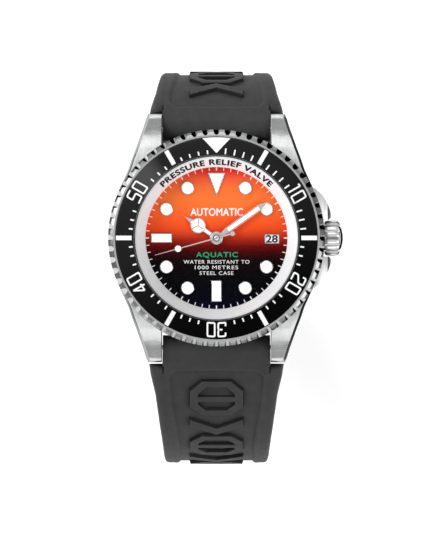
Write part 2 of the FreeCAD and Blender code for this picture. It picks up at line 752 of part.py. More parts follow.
# ---- strap
STRAP_T = 3.7
HEAD_R = 2.5            # strap head about the spring bar
HEAD_X = 10.95          # half width of the head
BAR_HOLE_R = 0.85
STRAP_START = -1.6      # first section, as a distance along the strap
# distance along the strap, half width
HALF_WIDTHS = [(-3.0, 13.8), (0, 13.8), (3, 13.45), (8, 12.5), (14, 11.9), (22, 11.3),
               (28, 11.0), (36, 10.8), (60, 10.3), (80, 10.0), (200, 10.0)]
# first downward slope, then legs of (length, bend radius or None for straight)
RUN_6 = (30.0, [(59.9, 40.4), (60.0, 78.0)])
RUN_12 = (50.0, [(41.3, 33.8), (40.0, None)])
LENGTH_6, LENGTH_12 = 112.0, 66.0


def path(run, distance):
    """Outer surface at a distance along a run: out and up from the bar, slope in radians."""
    slope = math.radians(run[0])
    out = HEAD_R * math.sin(slope) + 3.4 * math.cos(slope)
    up = HEAD_R * math.cos(slope) - 3.4 * math.sin(slope)
    if distance < 0:
        return out + distance * math.cos(slope), up - distance * math.sin(slope), slope
    for length, radius in run[1]:
        step = min(distance, length)
        if radius is None:
            out += step * math.cos(slope)
            up -= step * math.sin(slope)
        else:
            bent = slope + step / radius
            out += radius * (math.sin(bent) - math.sin(slope))
            up -= radius * (math.cos(slope) - math.cos(bent))
            slope = bent
        distance -= step
        if distance <= 1e-9:
            break
    return out, up, slope


def strap_section(run, distance, side):
    out, up, slope = path(run, distance)
    half = interp(HALF_WIDTHS, distance)
    y, z = side * (BAR_Y + out), BAR_Z + up
    y_in = side * (BAR_Y + out - STRAP_T * math.sin(slope))
    z_in = BAR_Z + up - STRAP_T * math.cos(slope)
    return wire([Vec(-half, y, z), Vec(half, y, z), Vec(half, y_in, z_in),
                 Vec(-half, y_in, z_in)])


def strap(side, run, length, count):
    sections = [strap_section(run, STRAP_START + (length - STRAP_START) * i / count, side)
                for i in range(count + 1)]
    axis = bar_axis(side)
    band = Part.makeLoft(sections, True, True)
    # room for the lug tips
    band = cut_each(band, [cyl_x(3.4, -20, -HEAD_X, axis), cyl_x(3.4, HEAD_X, 20, axis)])
    slope = math.radians(run[0])
    sine, cosine = math.sin(slope), math.cos(slope)
    # neck corners: along the strap, out of its outer face
    corners = ((0, HEAD_R), (2.6, HEAD_R), (2.6, HEAD_R - STRAP_T), (0, -HEAD_R + 0.1))
    neck = Part.Face(wire([Vec(-HEAD_X, side * (BAR_Y + along * cosine + out * sine),
                               BAR_Z - along * sine + out * cosine)
                           for along, out in corners])).extrude(Vec(2 * HEAD_X, 0, 0))
    body = fuse([band, neck, cyl_x(HEAD_R, -HEAD_X, HEAD_X, axis)])
    return body.cut(cyl_x(BAR_HOLE_R, -12, 12, axis))


@piece
def strap_6():
    holes = []
    for k in range(7):
        out, up, slope = path(RUN_6, 62.0 + 6.5 * k)
        outward = Vec(0, -math.sin(slope), math.cos(slope))
        start = Vec(0, -(BAR_Y + out), BAR_Z + up) + outward * 2
        holes.append(Part.makeCylinder(1.2, 8, start, outward * -1))
    return cut_each(strap(-1, RUN_6, LENGTH_6, 30), holes)


def at_buckle(shape):
    """Puts a shape at the 12 o'clock strap's end: y runs along it, z out of its outer face."""
    out, up, slope = path(RUN_12, LENGTH_12)
    outward = Vec(0, math.sin(slope), math.cos(slope))
    shape.rotate(Vec(0, 0, 0), Vec(1, 0, 0), -math.degrees(slope))
    shape.translate(Vec(0, BAR_Y + out, BAR_Z + up) - outward * (STRAP_T / 2))
    return shape


@piece
def strap_12():
    body = fuse([strap(1, RUN_12, LENGTH_12, 24), at_buckle(cyl_x(STRAP_T / 2, -10.0, 10.0))])
    tang_slot = box(-1.7, 1.7, -3.2, 5, -5, 5)
    return cut_each(body, [at_buckle(cyl_x(BAR_HOLE_R, -12, 12)), at_buckle(tang_slot)])


# ---- buckle and keeper
@piece
def buckle_frame():
    frame = fuse([box(10.3, 12.5, -1.7, 11.0, -1.3, 1.3),
                  box(-12.5, -10.3, -1.7, 11.0, -1.3, 1.3),
                  box(-12.5, 12.5, 8.8, 11.4, -1.3, 1.3)])
    return at_buckle(frame.cut(cyl_x(0.75, -12.0, 12.0)))


@piece
def buckle_bar():
    return at_buckle(cyl_x(0.75, -12.0, 12.0))


@piece
def buckle_tang():
    tang = fuse([cyl_x(1.5, -1.2, 1.2), box(-0.9, 0.9, 0.0, 8.2, 0.3, 1.45),
                 box(-0.9, 0.9, 7.6, 11.2, 1.36, 2.3), box(-0.9, 0.9, 7.0, 8.2, 0.5, 2.3)])
    return at_buckle(tang.cut(cyl_x(0.8, -2, 2)))


@piece
def keeper():
    loop = box(-11.8, 11.8, -13.0, -8.0, -3.1, 7.0)
    return at_buckle(loop.cut(box(-10.75, 10.75, -14, -7, -2.0, 5.9)))


# ---- export
def write(name, shape):
    if len(shape.Solids) == 1 and shape.ShapeType != "Solid":
        shape = shape.Solids[0]
    shape.exportStep("parts/%s.step" % name)


os.makedirs("parts", exist_ok=True)
for build in BUILDERS:
    write(build.__name__, build())
for side, hour in ((1, "12"), (-1, "6")):
    write("bar_tip_%s_crown" % hour, cyl_x(0.45, 8.6, 12.0, bar_axis(side)))
    write("bar_tip_%s_valve" % hour, cyl_x(0.45, -12.0, -8.6, bar_axis(side)))
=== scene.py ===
# A diver's wristwatch with a rubber strap, lying face up.
# The dial faces +Z, 12 o'clock points along +Y and the crown along +X.
# The strap halves leave the case at +Y and -Y and curve down towards -Z.
# Geometry is in millimetres and scaled by MM; lights, camera and textures are in metres.
import bpy
import bmesh
import json
import math
import numpy as np
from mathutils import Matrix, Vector


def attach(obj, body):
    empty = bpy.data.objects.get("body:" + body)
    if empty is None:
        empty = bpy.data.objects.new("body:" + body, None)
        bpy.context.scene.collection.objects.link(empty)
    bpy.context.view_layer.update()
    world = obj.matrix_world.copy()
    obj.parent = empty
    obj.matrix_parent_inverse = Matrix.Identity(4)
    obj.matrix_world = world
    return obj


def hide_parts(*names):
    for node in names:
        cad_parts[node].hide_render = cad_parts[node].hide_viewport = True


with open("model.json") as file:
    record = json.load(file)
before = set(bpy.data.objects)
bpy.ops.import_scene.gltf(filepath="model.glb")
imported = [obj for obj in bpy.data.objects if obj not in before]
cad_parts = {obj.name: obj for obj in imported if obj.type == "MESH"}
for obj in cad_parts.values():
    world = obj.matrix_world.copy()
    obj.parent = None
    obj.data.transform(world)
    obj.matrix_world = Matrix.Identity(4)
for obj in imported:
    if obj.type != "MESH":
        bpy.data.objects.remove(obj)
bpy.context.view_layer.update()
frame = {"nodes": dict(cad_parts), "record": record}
NODES = frame["nodes"]
MM = 0.001


# ------------------------------------------------------------------ solids
# A solid is a pair: a list of points in millimetres and a list of faces.

def set_creases(obj, crease):
    """Smooth shading, with edges sharp where faces meet at more than `crease` degrees."""
    bm = bmesh.new()
    bm.from_mesh(obj.data)
    bmesh.ops.recalc_face_normals(bm, faces=bm.faces)
    limit = math.radians(crease)
    for face in bm.faces:
        face.smooth = True
    for edge in bm.edges:
        edge.smooth = len(edge.link_faces) == 2 and edge.calc_face_angle(0.0) < limit
    bm.to_mesh(obj.data)
    bm.free()


def new_object(name, solid, material=None, crease=32.0):
    points, faces = solid
    mesh = bpy.data.meshes.new(name)
    scaled = np.asarray(points, float) * MM
    mesh.from_pydata([tuple(p) for p in scaled], [], faces)
    mesh.update()
    if material:
        mesh.materials.append(material)
    obj = bpy.data.objects.new(name, mesh)
    bpy.context.scene.collection.objects.link(obj)
    set_creases(obj, crease)
    return obj


def bevel(obj, width, segments=2, angle=30):
    modifier = obj.modifiers.new("edge", "BEVEL")
    modifier.width = width * MM
    modifier.segments = segments
    modifier.limit_method = "ANGLE"
    modifier.angle_limit = math.radians(angle)
    modifier.harden_normals = False


def add(name, solid, material, body, slot, crease=32.0, replaces=(), edge=None):
    """Adds a piece that moves with `body`; `edge` is the width of its bevel."""
    obj = new_object(name, solid, MAT[material], crease)
    if edge:
        bevel(obj, edge)
    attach(obj, body)
    if replaces:
        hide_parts(*replaces)


def merge(*solids):
    points, faces = [], []
    for more_points, more_faces in solids:
        base = len(points)
        points += [tuple(p) for p in more_points]
        faces += [tuple(i + base for i in face) for face in more_faces]
    return points, faces


def moved(solid, dx=0.0, dy=0.0, dz=0.0):
    return [(x + dx, y + dy, z + dz) for x, y, z in solid[0]], solid[1]


def turned(solid, degrees, centre=(0.0, 0.0)):
    """Turns a solid about a vertical axis through `centre`."""
    cos, sin = math.cos(math.radians(degrees)), math.sin(math.radians(degrees))
    cx, cy = centre
    return [(cx + (x - cx) * cos - (y - cy) * sin, cy + (x - cx) * sin + (y - cy) * cos, z)
            for x, y, z in solid[0]], solid[1]


def lathe(outline, steps, centre=(0.0, 0.0)):
    """Revolves (radius, z) pairs. An outline that starts on the axis is left open,
    any other is closed into a ring. Points on the axis become single poles."""
    points, rings = [], []
    for radius, z in outline:
        base = len(points)
        if radius < 1e-6:
            rings.append([base])
            points.append((*centre, z))
            continue
        for i in range(steps):
            a = 2 * math.pi * i / steps
            points.append((centre[0] + radius * math.cos(a), centre[1] + radius * math.sin(a), z))
        rings.append(range(base, base + steps))
    pairs = list(zip(rings, rings[1:]))
    if outline[0][0] > 0:
        pairs.append((rings[-1], rings[0]))
    faces = []
    for p, q in pairs:
        for i in range(steps):
            j = (i + 1) % steps
            if len(p) == 1:
                faces.append((p[0], q[j], q[i]))
            elif len(q) == 1:
                faces.append((p[i], p[j], q[0]))
            else:
                faces.append((p[i], p[j], q[j], q[i]))
    return points, faces


def plate(outline, z0, z1, hole=None):
    """Flat plate; a hole needs as many points as the outline."""
    n = len(outline)
    points = [(x, y, z) for z in (z0, z1) for x, y in outline]
    faces = [(i, (i + 1) % n, n + (i + 1) % n, n + i) for i in range(n)]
    if not hole:
        return points, faces + [tuple(range(n))[::-1], tuple(range(n, 2 * n))]
    base = 2 * n
    points += [(x, y, z) for z in (z0, z1) for x, y in hole]
    for i in range(n):
        j = (i + 1) % n
        faces.append((base + i, base + n + i, base + n + j, base + j))
        faces.append((i, base + i, base + j, j))
        faces.append((n + i, n + j, base + n + j, base + n + i))
    return points, faces


def tube(first, last):
    """Capped solid between two rings of points."""
    n = len(first)
    faces = [tuple(range(n)), tuple(range(n, 2 * n))[::-1]]
    faces += [(i, n + i, n + (i + 1) % n, (i + 1) % n) for i in range(n)]
    return first + last, faces


def rect(x0, x1, y0, y1):
    return [(x0, y0), (x1, y0), (x1, y1), (x0, y1)]


def rounded_rect(x0, x1, y0, y1, radius, steps):
    corners = ((x1 - radius, y1 - radius, 0), (x0 + radius, y1 - radius, 90),
               (x0 + radius, y0 + radius, 180), (x1 - radius, y0 + radius, 270))
    out = []
    for cx, cy, start in corners:
        for i in range(steps + 1):
            a = math.radians(start + 90 * i / steps)
            out.append((cx + radius * math.cos(a), cy + radius * math.sin(a)))
    return out


def text_solid(body, width, height, depth, spacing=1.0, fatten=0.0):
    """Letters centred on x, standing on y = 0, stretched to the given size."""
    curve = bpy.data.curves.new("text", "FONT")
    curve.body = body
    curve.align_x = "CENTER"
    curve.size = 1.0
    curve.offset = fatten
    curve.extrude = 0.01
    curve.space_character = spacing
    curve.resolution_u = 5
    obj = bpy.data.objects.new("text", curve)
    bpy.context.scene.collection.objects.link(obj)
    bpy.context.view_layer.update()
    evaluated = obj.evaluated_get(bpy.context.evaluated_depsgraph_get())
    mesh = evaluated.to_mesh()
    v = np.array([p.co for p in mesh.vertices], float)
    faces = [tuple(p.vertices) for p in mesh.polygons]
    evaluated.to_mesh_clear()
    bpy.data.objects.remove(obj)
    bpy.data.curves.remove(curve)
    low, high = v.min(0), v.max(0)
    v[:, 0] = (v[:, 0] - (low[0] + high[0]) / 2) * width / (high[0] - low[0])
    v[:, 1] = (v[:, 1] - low[1]) * height / (high[1] - low[1])
    v[:, 2] = (v[:, 2] - low[2]) * depth / (high[2] - low[2])
    return [tuple(p) for p in v], faces


def emboldened(letters, across, up, lift):
    """Four shifted copies, each raised by `lift` over the last, make the strokes bolder."""
    shifts = ((across, 0.0), (-across, 0.0), (0.0, up), (0.0, -up))
    return merge(*[moved(letters, dx, dy, lift * i) for i, (dx, dy) in enumerate(shifts)])


def smooth_step(x):
    x = max(0.0, min(1.0, x))
    return x * x * (3 - 2 * x)


# ------------------------------------------------------------------ shader trees
class NodeTree:
    """Builds a shader. Node inputs take a plain value or another node's output socket."""

    def __init__(self, owner, output_kind):
        self.owner = owner
        owner.use_nodes = True
        self.tree = owner.node_tree
        self.tree.nodes.clear()
        self.output = self.node(output_kind)

    def node(self, kind, inputs=None, **settings):
        made = self.tree.nodes.new("ShaderNode" + kind)
        for name, value in settings.items():
            setattr(made, name, value)
        self.feed(made, inputs or {})
        return made

    def feed(self, node, inputs):
        for key, value in inputs.items():
            if isinstance(value, bpy.types.NodeSocket):
                self.tree.links.new(value, node.inputs[key])
            else:
                node.inputs[key].default_value = value

    def noise(self, scale, detail=4.0, rough=0.5, stretch=(1, 1, 1)):
        coords = self.node("TexCoord").outputs["Object"]
        mapping = self.node("Mapping", {"Vector": coords, "Scale": stretch})
        return self.node("TexNoise", {"Vector": mapping.outputs["Vector"], "Scale": scale,
                                      "Detail": detail, "Roughness": rough}).outputs["Fac"]

    def ring_noise(self, radius, scale):
        """Fine circular grain about the hand axis."""
        return self.node("TexNoise", {"W": radius, "Scale": scale, "Detail": 2.0},
                         noise_dimensions="1D").outputs["Fac"]

    def ramp(self, value, stops):
        """Stops are (position, grey) or (position, colour)."""
        made = self.node("ValToRGB", {"Fac": value})
        elements = made.color_ramp.elements
        while len(elements) > 1:
            elements.remove(elements[-1])
        for i, (position, tone) in enumerate(stops):
            element = elements[0] if i == 0 else elements.new(position)
            element.position = position
            element.color = (*([tone] * 3 if isinstance(tone, (int, float)) else tone), 1)
        return made.outputs["Color"]

    def mottle(self, noise, color, low, high):
        """Colour that drifts between `low` and `high` times itself."""
        return self.ramp(noise, [(0.3, [c * low for c in color]), (0.7, [c * high for c in color])])

    def remap(self, value, from_min, from_max, to_min=0.0, to_max=1.0):
        return self.node("MapRange", {
            "Value": value, "From Min": from_min, "From Max": from_max,
            "To Min": to_min, "To Max": to_max}).outputs["Result"]

    def mix(self, first, second, factor=1.0, blend="MULTIPLY"):
        return self.node("MixRGB", {"Fac": factor, "Color1": first, "Color2": second},
                         blend_type=blend).outputs["Color"]

    def math(self, operation, *operands):
        made = self.node("Math", dict(enumerate(operands)), operation=operation)
        return made.outputs["Value"]

    def vector(self, operation, *operands, output="Vector"):
        made = self.node("VectorMath", dict(enumerate(operands)), operation=operation)
        return made.outputs[output]

    def dot(self, vector, axis):
        return self.vector("DOT_PRODUCT", vector, axis, output="Value")

    def grey(self, color):
        return self.node("RGBToBW", {"Color": color}).outputs["Val"]

    def geometry(self, output):
        return self.node("NewGeometry").outputs[output]

    def split(self, vector):
        return self.node("SeparateXYZ", {"Vector": vector}).outputs

    def normal_part(self, letter):
        return self.split(self.geometry("Normal"))[letter]

    def dial_place(self):
        """Returns the object position's parts, its flattened vector and its radius."""
        parts = self.split(self.node("TexCoord").outputs["Object"])
        flat = self.node("CombineXYZ", {"X": parts["X"], "Y": parts["Y"]}).outputs["Vector"]
        return parts, flat, self.vector("LENGTH", flat, output="Value")

    def facing(self, stops):
        """Tone by the turn away from the eye: 0 faces it, 1 is edge on."""
        weight = self.node("LayerWeight", {"Blend": 0.5})
        return self.ramp(weight.outputs["Facing"], stops)

    def bump(self, height, strength, distance):
        return self.node("Bump", {"Height": height, "Strength": strength,
                                  "Distance": distance}).outputs["Normal"]

    def principled(self, color, rough, metal=0.0, inputs=None):
        made = self.node("BsdfPrincipled", {"Base Color": (*color, 1), "Roughness": rough,
                                            "Metallic": metal})
        self.feed(made, inputs or {})
        return made.outputs["BSDF"]

    def mix_shaders(self, factor, first, second):
        return self.node("MixShader", {"Fac": factor, 1: first, 2: second}).outputs["Shader"]

    def finish(self, shader):
        self.feed(self.output, {"Surface": shader})
        return self.owner


def material_tree(name):
    return NodeTree(bpy.data.materials.new(name), "OutputMaterial")


def srgb(*levels):
    """0 to 255 display levels to linear colour."""
    shares = [c / 255.0 for c in levels]
    return tuple(c / 12.92 if c <= 0.04045 else ((c + 0.055) / 1.055) ** 2.4 for c in shares)


# ------------------------------------------------------------------ materials
def brushed_steel(name, color, stretch=(900, 35, 900), rough=(0.22, 0.42), bump=0.25,
                  metal=1.0, polished_bevels=False):
    tree = material_tree(name)
    streak = tree.noise(6.0, detail=5.0, rough=0.65, stretch=stretch)
    wide = tree.noise(5.0, detail=3.0, stretch=(160, 9, 160))
    tone = tree.mix((*color, 1), tree.ramp(streak, [(0.25, 0.78), (0.55, 1.0), (0.8, 1.12)]))
    tone = tree.mix(tone, tree.ramp(wide, [(0.3, 0.86), (0.7, 1.06)]), factor=0.6)
    # painted shade: upright walls are painted darker than faces that look up or down
    level = tree.math("ABSOLUTE", tree.normal_part("Z"))
    tone = tree.mix(tone, tree.ramp(level, [(0.0, 0.5), (0.3, 0.58), (0.45, 1.0)]))
    # painted reflection: the tone falls dark as faces turn edge on to the eye
    tone = tree.mix(tone, tree.facing([(0.0, 1.0), (0.55, 0.95), (0.75, 0.6), (0.9, 0.15),
                                       (1.0, 0.06)]))
    brushed = tree.principled(color, 0.3, metal, {
        "Base Color": tone,
        "Roughness": tree.remap(streak, 0.2, 0.8, *rough),
        "Normal": tree.bump(streak, strength=bump, distance=0.00004)})
    if not polished_bevels:
        return tree.finish(brushed)

    # painted reflection: the polished tone falls dark as faces turn edge on to the eye
    shine = tree.mix((*color, 1), tree.facing([(0.0, 1.0), (0.3, 1.0), (0.5, 0.8), (0.75, 0.15),
                                               (1.0, 0.03)]))
    # painted shade: bevels that lean towards +X are painted dark
    side = tree.remap(tree.normal_part("X"), -1.0, 1.0)
    shine = tree.mix(shine, tree.ramp(side, [(0.0, 0.35), (0.25, 0.55), (0.5, 1.0), (0.62, 0.8),
                                             (0.72, 0.03), (1.0, 0.01)]))
    soft = tree.noise(180.0, detail=2.0)
    polished_part = tree.principled([c * 1.12 for c in color], 0.08, 1.0, {
        "Base Color": shine,
        "Roughness": tree.remap(soft, 0.3, 0.7, 0.14, 0.22)})
    # faces that look up or sideways are brushed; the leaning bevels between are polished
    leaning = tree.ramp(tree.normal_part("Z"), [(0.0, 0.0), (0.36, 0.0), (0.42, 1.0), (0.76, 1.0),
                                                (0.82, 0.0), (1.0, 0.0)])
    return tree.finish(tree.mix_shaders(leaning, brushed, polished_part))


def room_steel(name, color, rough, dark, axis, span, edge, tilt=None, metal=1.0, dim=None):
    """Steel with a painted reflection of a dark studio wall, laid as a dark colour and a dark
    diffuse shader on faces turned a given way.
    dark: grey of the painted reflection; tilt: lean past which a face takes it, None for every face
    axis, span: direction of the fade into the painted dark, and its start and end along it
    edge: painted reflection, a tone by turn away from the eye
    dim: (axis, fade start, fade end, tone) painted shade for faces turned along a second axis"""
    tree = material_tree(name)
    fine = tree.noise(900.0, detail=3.0)
    broad = tree.noise(220.0, detail=3.0)
    normal = tree.geometry("Normal")
    if tilt is None:
        leaning = tree.ramp(tree.split(normal)["Z"], [(0.0, 1.0), (1.0, 1.0)])
    else:
        leaning = tree.facing([(0.0, 0.0), (1.0 - tilt, 0.0), (1.08 - tilt, 1.0), (1.0, 1.0)])
    turned_in = tree.remap(tree.dot(normal, axis), *span)
    painted_reflection_mask = tree.math("MULTIPLY", tree.grey(leaning), turned_in)
    painted_dark_color = (dark, dark, dark, 1)
    tone = tree.mix(tree.mottle(broad, color, 0.94, 1.0), painted_dark_color, painted_reflection_mask, "MIX")
    tone = tree.mix(tone, tree.facing(edge))
    if dim:
        dim_axis, start, end, dim_tone = dim
        along = tree.math("ABSOLUTE", tree.dot(normal, dim_axis))
        tone = tree.mix(tone, tree.ramp(along, [(0.0, 1.0), (start, 1.0), (end, dim_tone),
                                                (1.0, dim_tone)]))
    steel = tree.principled(color, rough, metal, {
        "Base Color": tone,
        "Roughness": tree.remap(fine, 0.3, 0.75, rough, rough + 0.06),
        "Normal": tree.bump(broad, strength=0.03, distance=0.00003)})
    # painted reflection: a dark diffuse shader stands in for the reflection of a dark studio wall
    wall = tree.node("BsdfDiffuse", {"Color": painted_dark_color}).outputs["BSDF"]
    return tree.finish(tree.mix_shaders(painted_reflection_mask, steel, wall))


def polished(name, color, rough, wear=0.05, metal=1.0):
    tree = material_tree(name)
    fine = tree.noise(900.0, detail=3.0)
    broad = tree.noise(220.0, detail=3.0)
    return tree.finish(tree.principled(color, rough, metal, {
        "Base Color": tree.mottle(broad, color, 0.94, 1.0),
        "Roughness": tree.remap(fine, 0.3, 0.75, rough, rough + wear),
        "Normal": tree.bump(broad, strength=0.03, distance=0.00003)}))


def plastic(name, color, rough, coat=0.0, grain=1500.0, bump=0.05, vary=0.08, spec=0.5,
            glow=0.0, room=False):
    """grain: scale of the fine noise; vary: share by which the colour drifts;
    room: paint the reflection of the studio on a glossy ring."""
    tree = material_tree(name)
    fine = tree.noise(grain, rough=0.6)
    tone = tree.mottle(tree.noise(grain / 9, detail=3.0), color, 1 - vary, 1 + vary)
    inputs = {"Coat Weight": coat, "Coat Roughness": 0.04, "Specular IOR Level": spec,
              "Roughness": tree.remap(fine, 0.3, 0.7, rough - 0.05, rough + 0.07),
              "Normal": tree.bump(fine, strength=bump, distance=0.00003)}
    # painted light: the emission makes the part brighter, though it is no lamp
    if glow:
        inputs.update({"Emission Color": (*color, 1), "Emission Strength": glow})
    shader = tree.principled(color, rough, inputs=inputs)
    if room:
        # painted reflection: a soft bright wedge towards -X +Y, and painted shade falling dark
        # towards 6 o'clock
        flat = tree.vector("MULTIPLY", tree.geometry("Position"), (1, 1, 0))
        outward = tree.vector("NORMALIZE", flat)
        up = tree.dot(outward, (-0.35, 0.937, 0))
        wedge = tree.dot(outward, (-0.755, 0.656, 0))
        darker = tree.mix(tone, tree.ramp(tree.remap(up, -1.0, 1.0),
                                          [(0.0, 0.3), (0.2, 0.4), (0.6, 1.0)]))
        tone = tree.mix(darker, (0.06, 0.06, 0.06, 1), tree.remap(wedge, 0.975, 1.0), "MIX")
        tree.feed(shader.node, {"Specular IOR Level": tree.remap(up, -0.7, 0.6, 0.0, spec),
                                "Coat Weight": tree.remap(up, -0.7, 0.6, 0.0, coat)})
    tree.feed(shader.node, {"Base Color": tone})
    return tree.finish(shader)


def rubber(name, color, rough):
    tree = material_tree(name)
    fine = tree.noise(3800.0, detail=3.0, rough=0.7)
    mid = tree.noise(420.0, rough=0.55)
    big = tree.noise(60.0, detail=3.0)
    tone = tree.mix(tree.mottle(mid, color, 0.88, 1.1), tree.ramp(big, [(0.3, 0.92), (0.7, 1.06)]))
    # painted highlight: sharp convex edges are painted a little lighter
    edge_highlight = tree.grey(tree.ramp(tree.geometry("Pointiness"), [(0.50, 0.0), (0.56, 1.0)]))
    tone = tree.mix(tone, (0.05, 0.05, 0.052, 1), tree.math("MULTIPLY", edge_highlight, 0.25), "ADD")
    # creases and the feet of raised shapes hold shade
    crease = tree.node("AmbientOcclusion", {"Distance": 0.0016}, samples=6).outputs["AO"]
    tone = tree.mix(tone, tree.ramp(crease, [(0.35, 0.18), (0.75, 0.72), (1.0, 1.0)]))
    return tree.finish(tree.principled(color, rough, inputs={
        "Specular IOR Level": 0.24,
        "Base Color": tone,
        "Roughness": tree.remap(fine, 0.3, 0.7, rough - 0.08, rough + 0.12),
        "Normal": tree.bump(fine, strength=0.35, distance=0.00006)}))


def sapphire(name):
    """Nearly clear, with a faint reflection."""
    tree = material_tree(name)
    gloss = tree.node("BsdfGlossy", {"Roughness": 0.02})
    haze = tree.noise(60.0, detail=2.0)
    tree.feed(gloss, {"Roughness": tree.remap(haze, 0.3, 0.7, 0.015, 0.03)})
    fresnel = tree.node("Fresnel", {"IOR": 1.25}).outputs["Fac"]
    return tree.finish(tree.mix_shaders(
        tree.math("MULTIPLY", fresnel, 0.05),
        tree.node("BsdfTransparent").outputs["BSDF"],
        gloss.outputs["BSDF"]))


DIAL_R = 14.5
# dial fade, from 6 to 12 o'clock: (y in mm, display red, green, blue)
DIAL_FADE = [
    (-14.4, 4, 4, 34), (-12.0, 2, 2, 14), (-9.5, 2, 2, 6), (-6.4, 5, 2, 5), (-5.0, 12, 3, 6),
    (-4.1, 28, 4, 6), (-2.9, 62, 3, 6), (-1.7, 102, 8, 8), (-0.4, 158, 36, 20),
    (0.8, 206, 62, 27), (1.9, 238, 78, 32), (3.1, 250, 88, 36), (5.2, 255, 108, 48),
    (8.0, 255, 122, 56), (10.4, 253, 116, 56), (12.2, 250, 98, 62), (13.4, 244, 70, 52),
    (14.4, 226, 44, 42)]


def dial_lacquer(name):
    tree = material_tree(name)
    parts, _, radius = tree.dial_place()
    wobble = tree.remap(tree.noise(70.0, detail=3.0), 0.2, 0.8, -0.00035, 0.00035)
    height = tree.remap(tree.math("ADD", parts["Y"], wobble), -DIAL_R * MM, DIAL_R * MM)
    fade = tree.ramp(height, [((y + DIAL_R) / (2 * DIAL_R), srgb(*levels))
                              for y, *levels in DIAL_FADE])
    # the rim sits in the shade of the chapter ring: a little redder and darker
    rim = tree.ramp(tree.remap(radius, 0.0118, 0.0146),
                    [(0.0, (1, 1, 1)), (0.55, (1, 0.93, 0.92)), (1.0, (0.92, 0.62, 0.62))])
    flecks = tree.noise(5200.0, detail=2.0)
    return tree.finish(tree.principled((1, 0, 0), 0.45, inputs={
        "Specular IOR Level": 0.05,
        "Base Color": tree.mix(fade, rim),
        "Normal": tree.bump(flecks, strength=0.05, distance=0.00002)}))


def satin_ring(name, color):
    tree = material_tree(name)
    _, _, radius = tree.dial_place()
    grain = tree.ring_noise(radius, scale=90000.0)
    return tree.finish(tree.principled(color, 0.3, 1.0, {
        "Base Color": tree.mottle(tree.noise(55.0, detail=2.0), color, 0.93, 1.04),
        "Roughness": tree.remap(grain, 0.2, 0.8, 0.25, 0.4),
        "Normal": tree.bump(grain, strength=0.08, distance=0.00002)}))


def chapter_steel(name):
    tree = material_tree(name)
    _, flat, radius = tree.dial_place()
    grain = tree.ring_noise(radius, scale=60000.0)
    # painted light: brighter towards one and two o'clock, painted shade greyer at the far side; the
    # emission adds a painted glow
    light = tree.remap(tree.dot(flat, (38.0, 46.0, 0.0)), -1.0, 1.0)
    tone = tree.ramp(light, [(0.0, (0.60, 0.60, 0.61)), (0.35, (0.72, 0.71, 0.72)),
                             (0.6, (0.74, 0.76, 0.77)), (0.85, (0.90, 0.93, 0.94))])
    return tree.finish(tree.principled((0.8, 0.8, 0.8), 0.4, inputs={
        "Specular IOR Level": 0.3,
        "Base Color": tone,
        "Roughness": tree.remap(grain, 0.2, 0.8, 0.26, 0.44),
        "Normal": tree.bump(grain, strength=0.12, distance=0.00002),
        "Emission Color": tone,
        "Emission Strength": 0.22}))


def floor_pale(name):
    tree = material_tree(name)
    grain = tree.noise(900.0)
    return tree.finish(tree.principled((0.9, 0.9, 0.9), 0.75, inputs={
        "Base Color": tree.ramp(grain, [(0.3, 0.90), (0.7, 0.93)]),
        "Normal": tree.bump(grain, strength=0.05, distance=0.0002),
        "Emission Color": (1, 1, 1, 1),
        "Emission Strength": 0.27}))


PRINT = dict(rough=0.55, grain=5000.0, bump=0.03, spec=0.2)
INK = {**PRINT, "rough": 0.5}

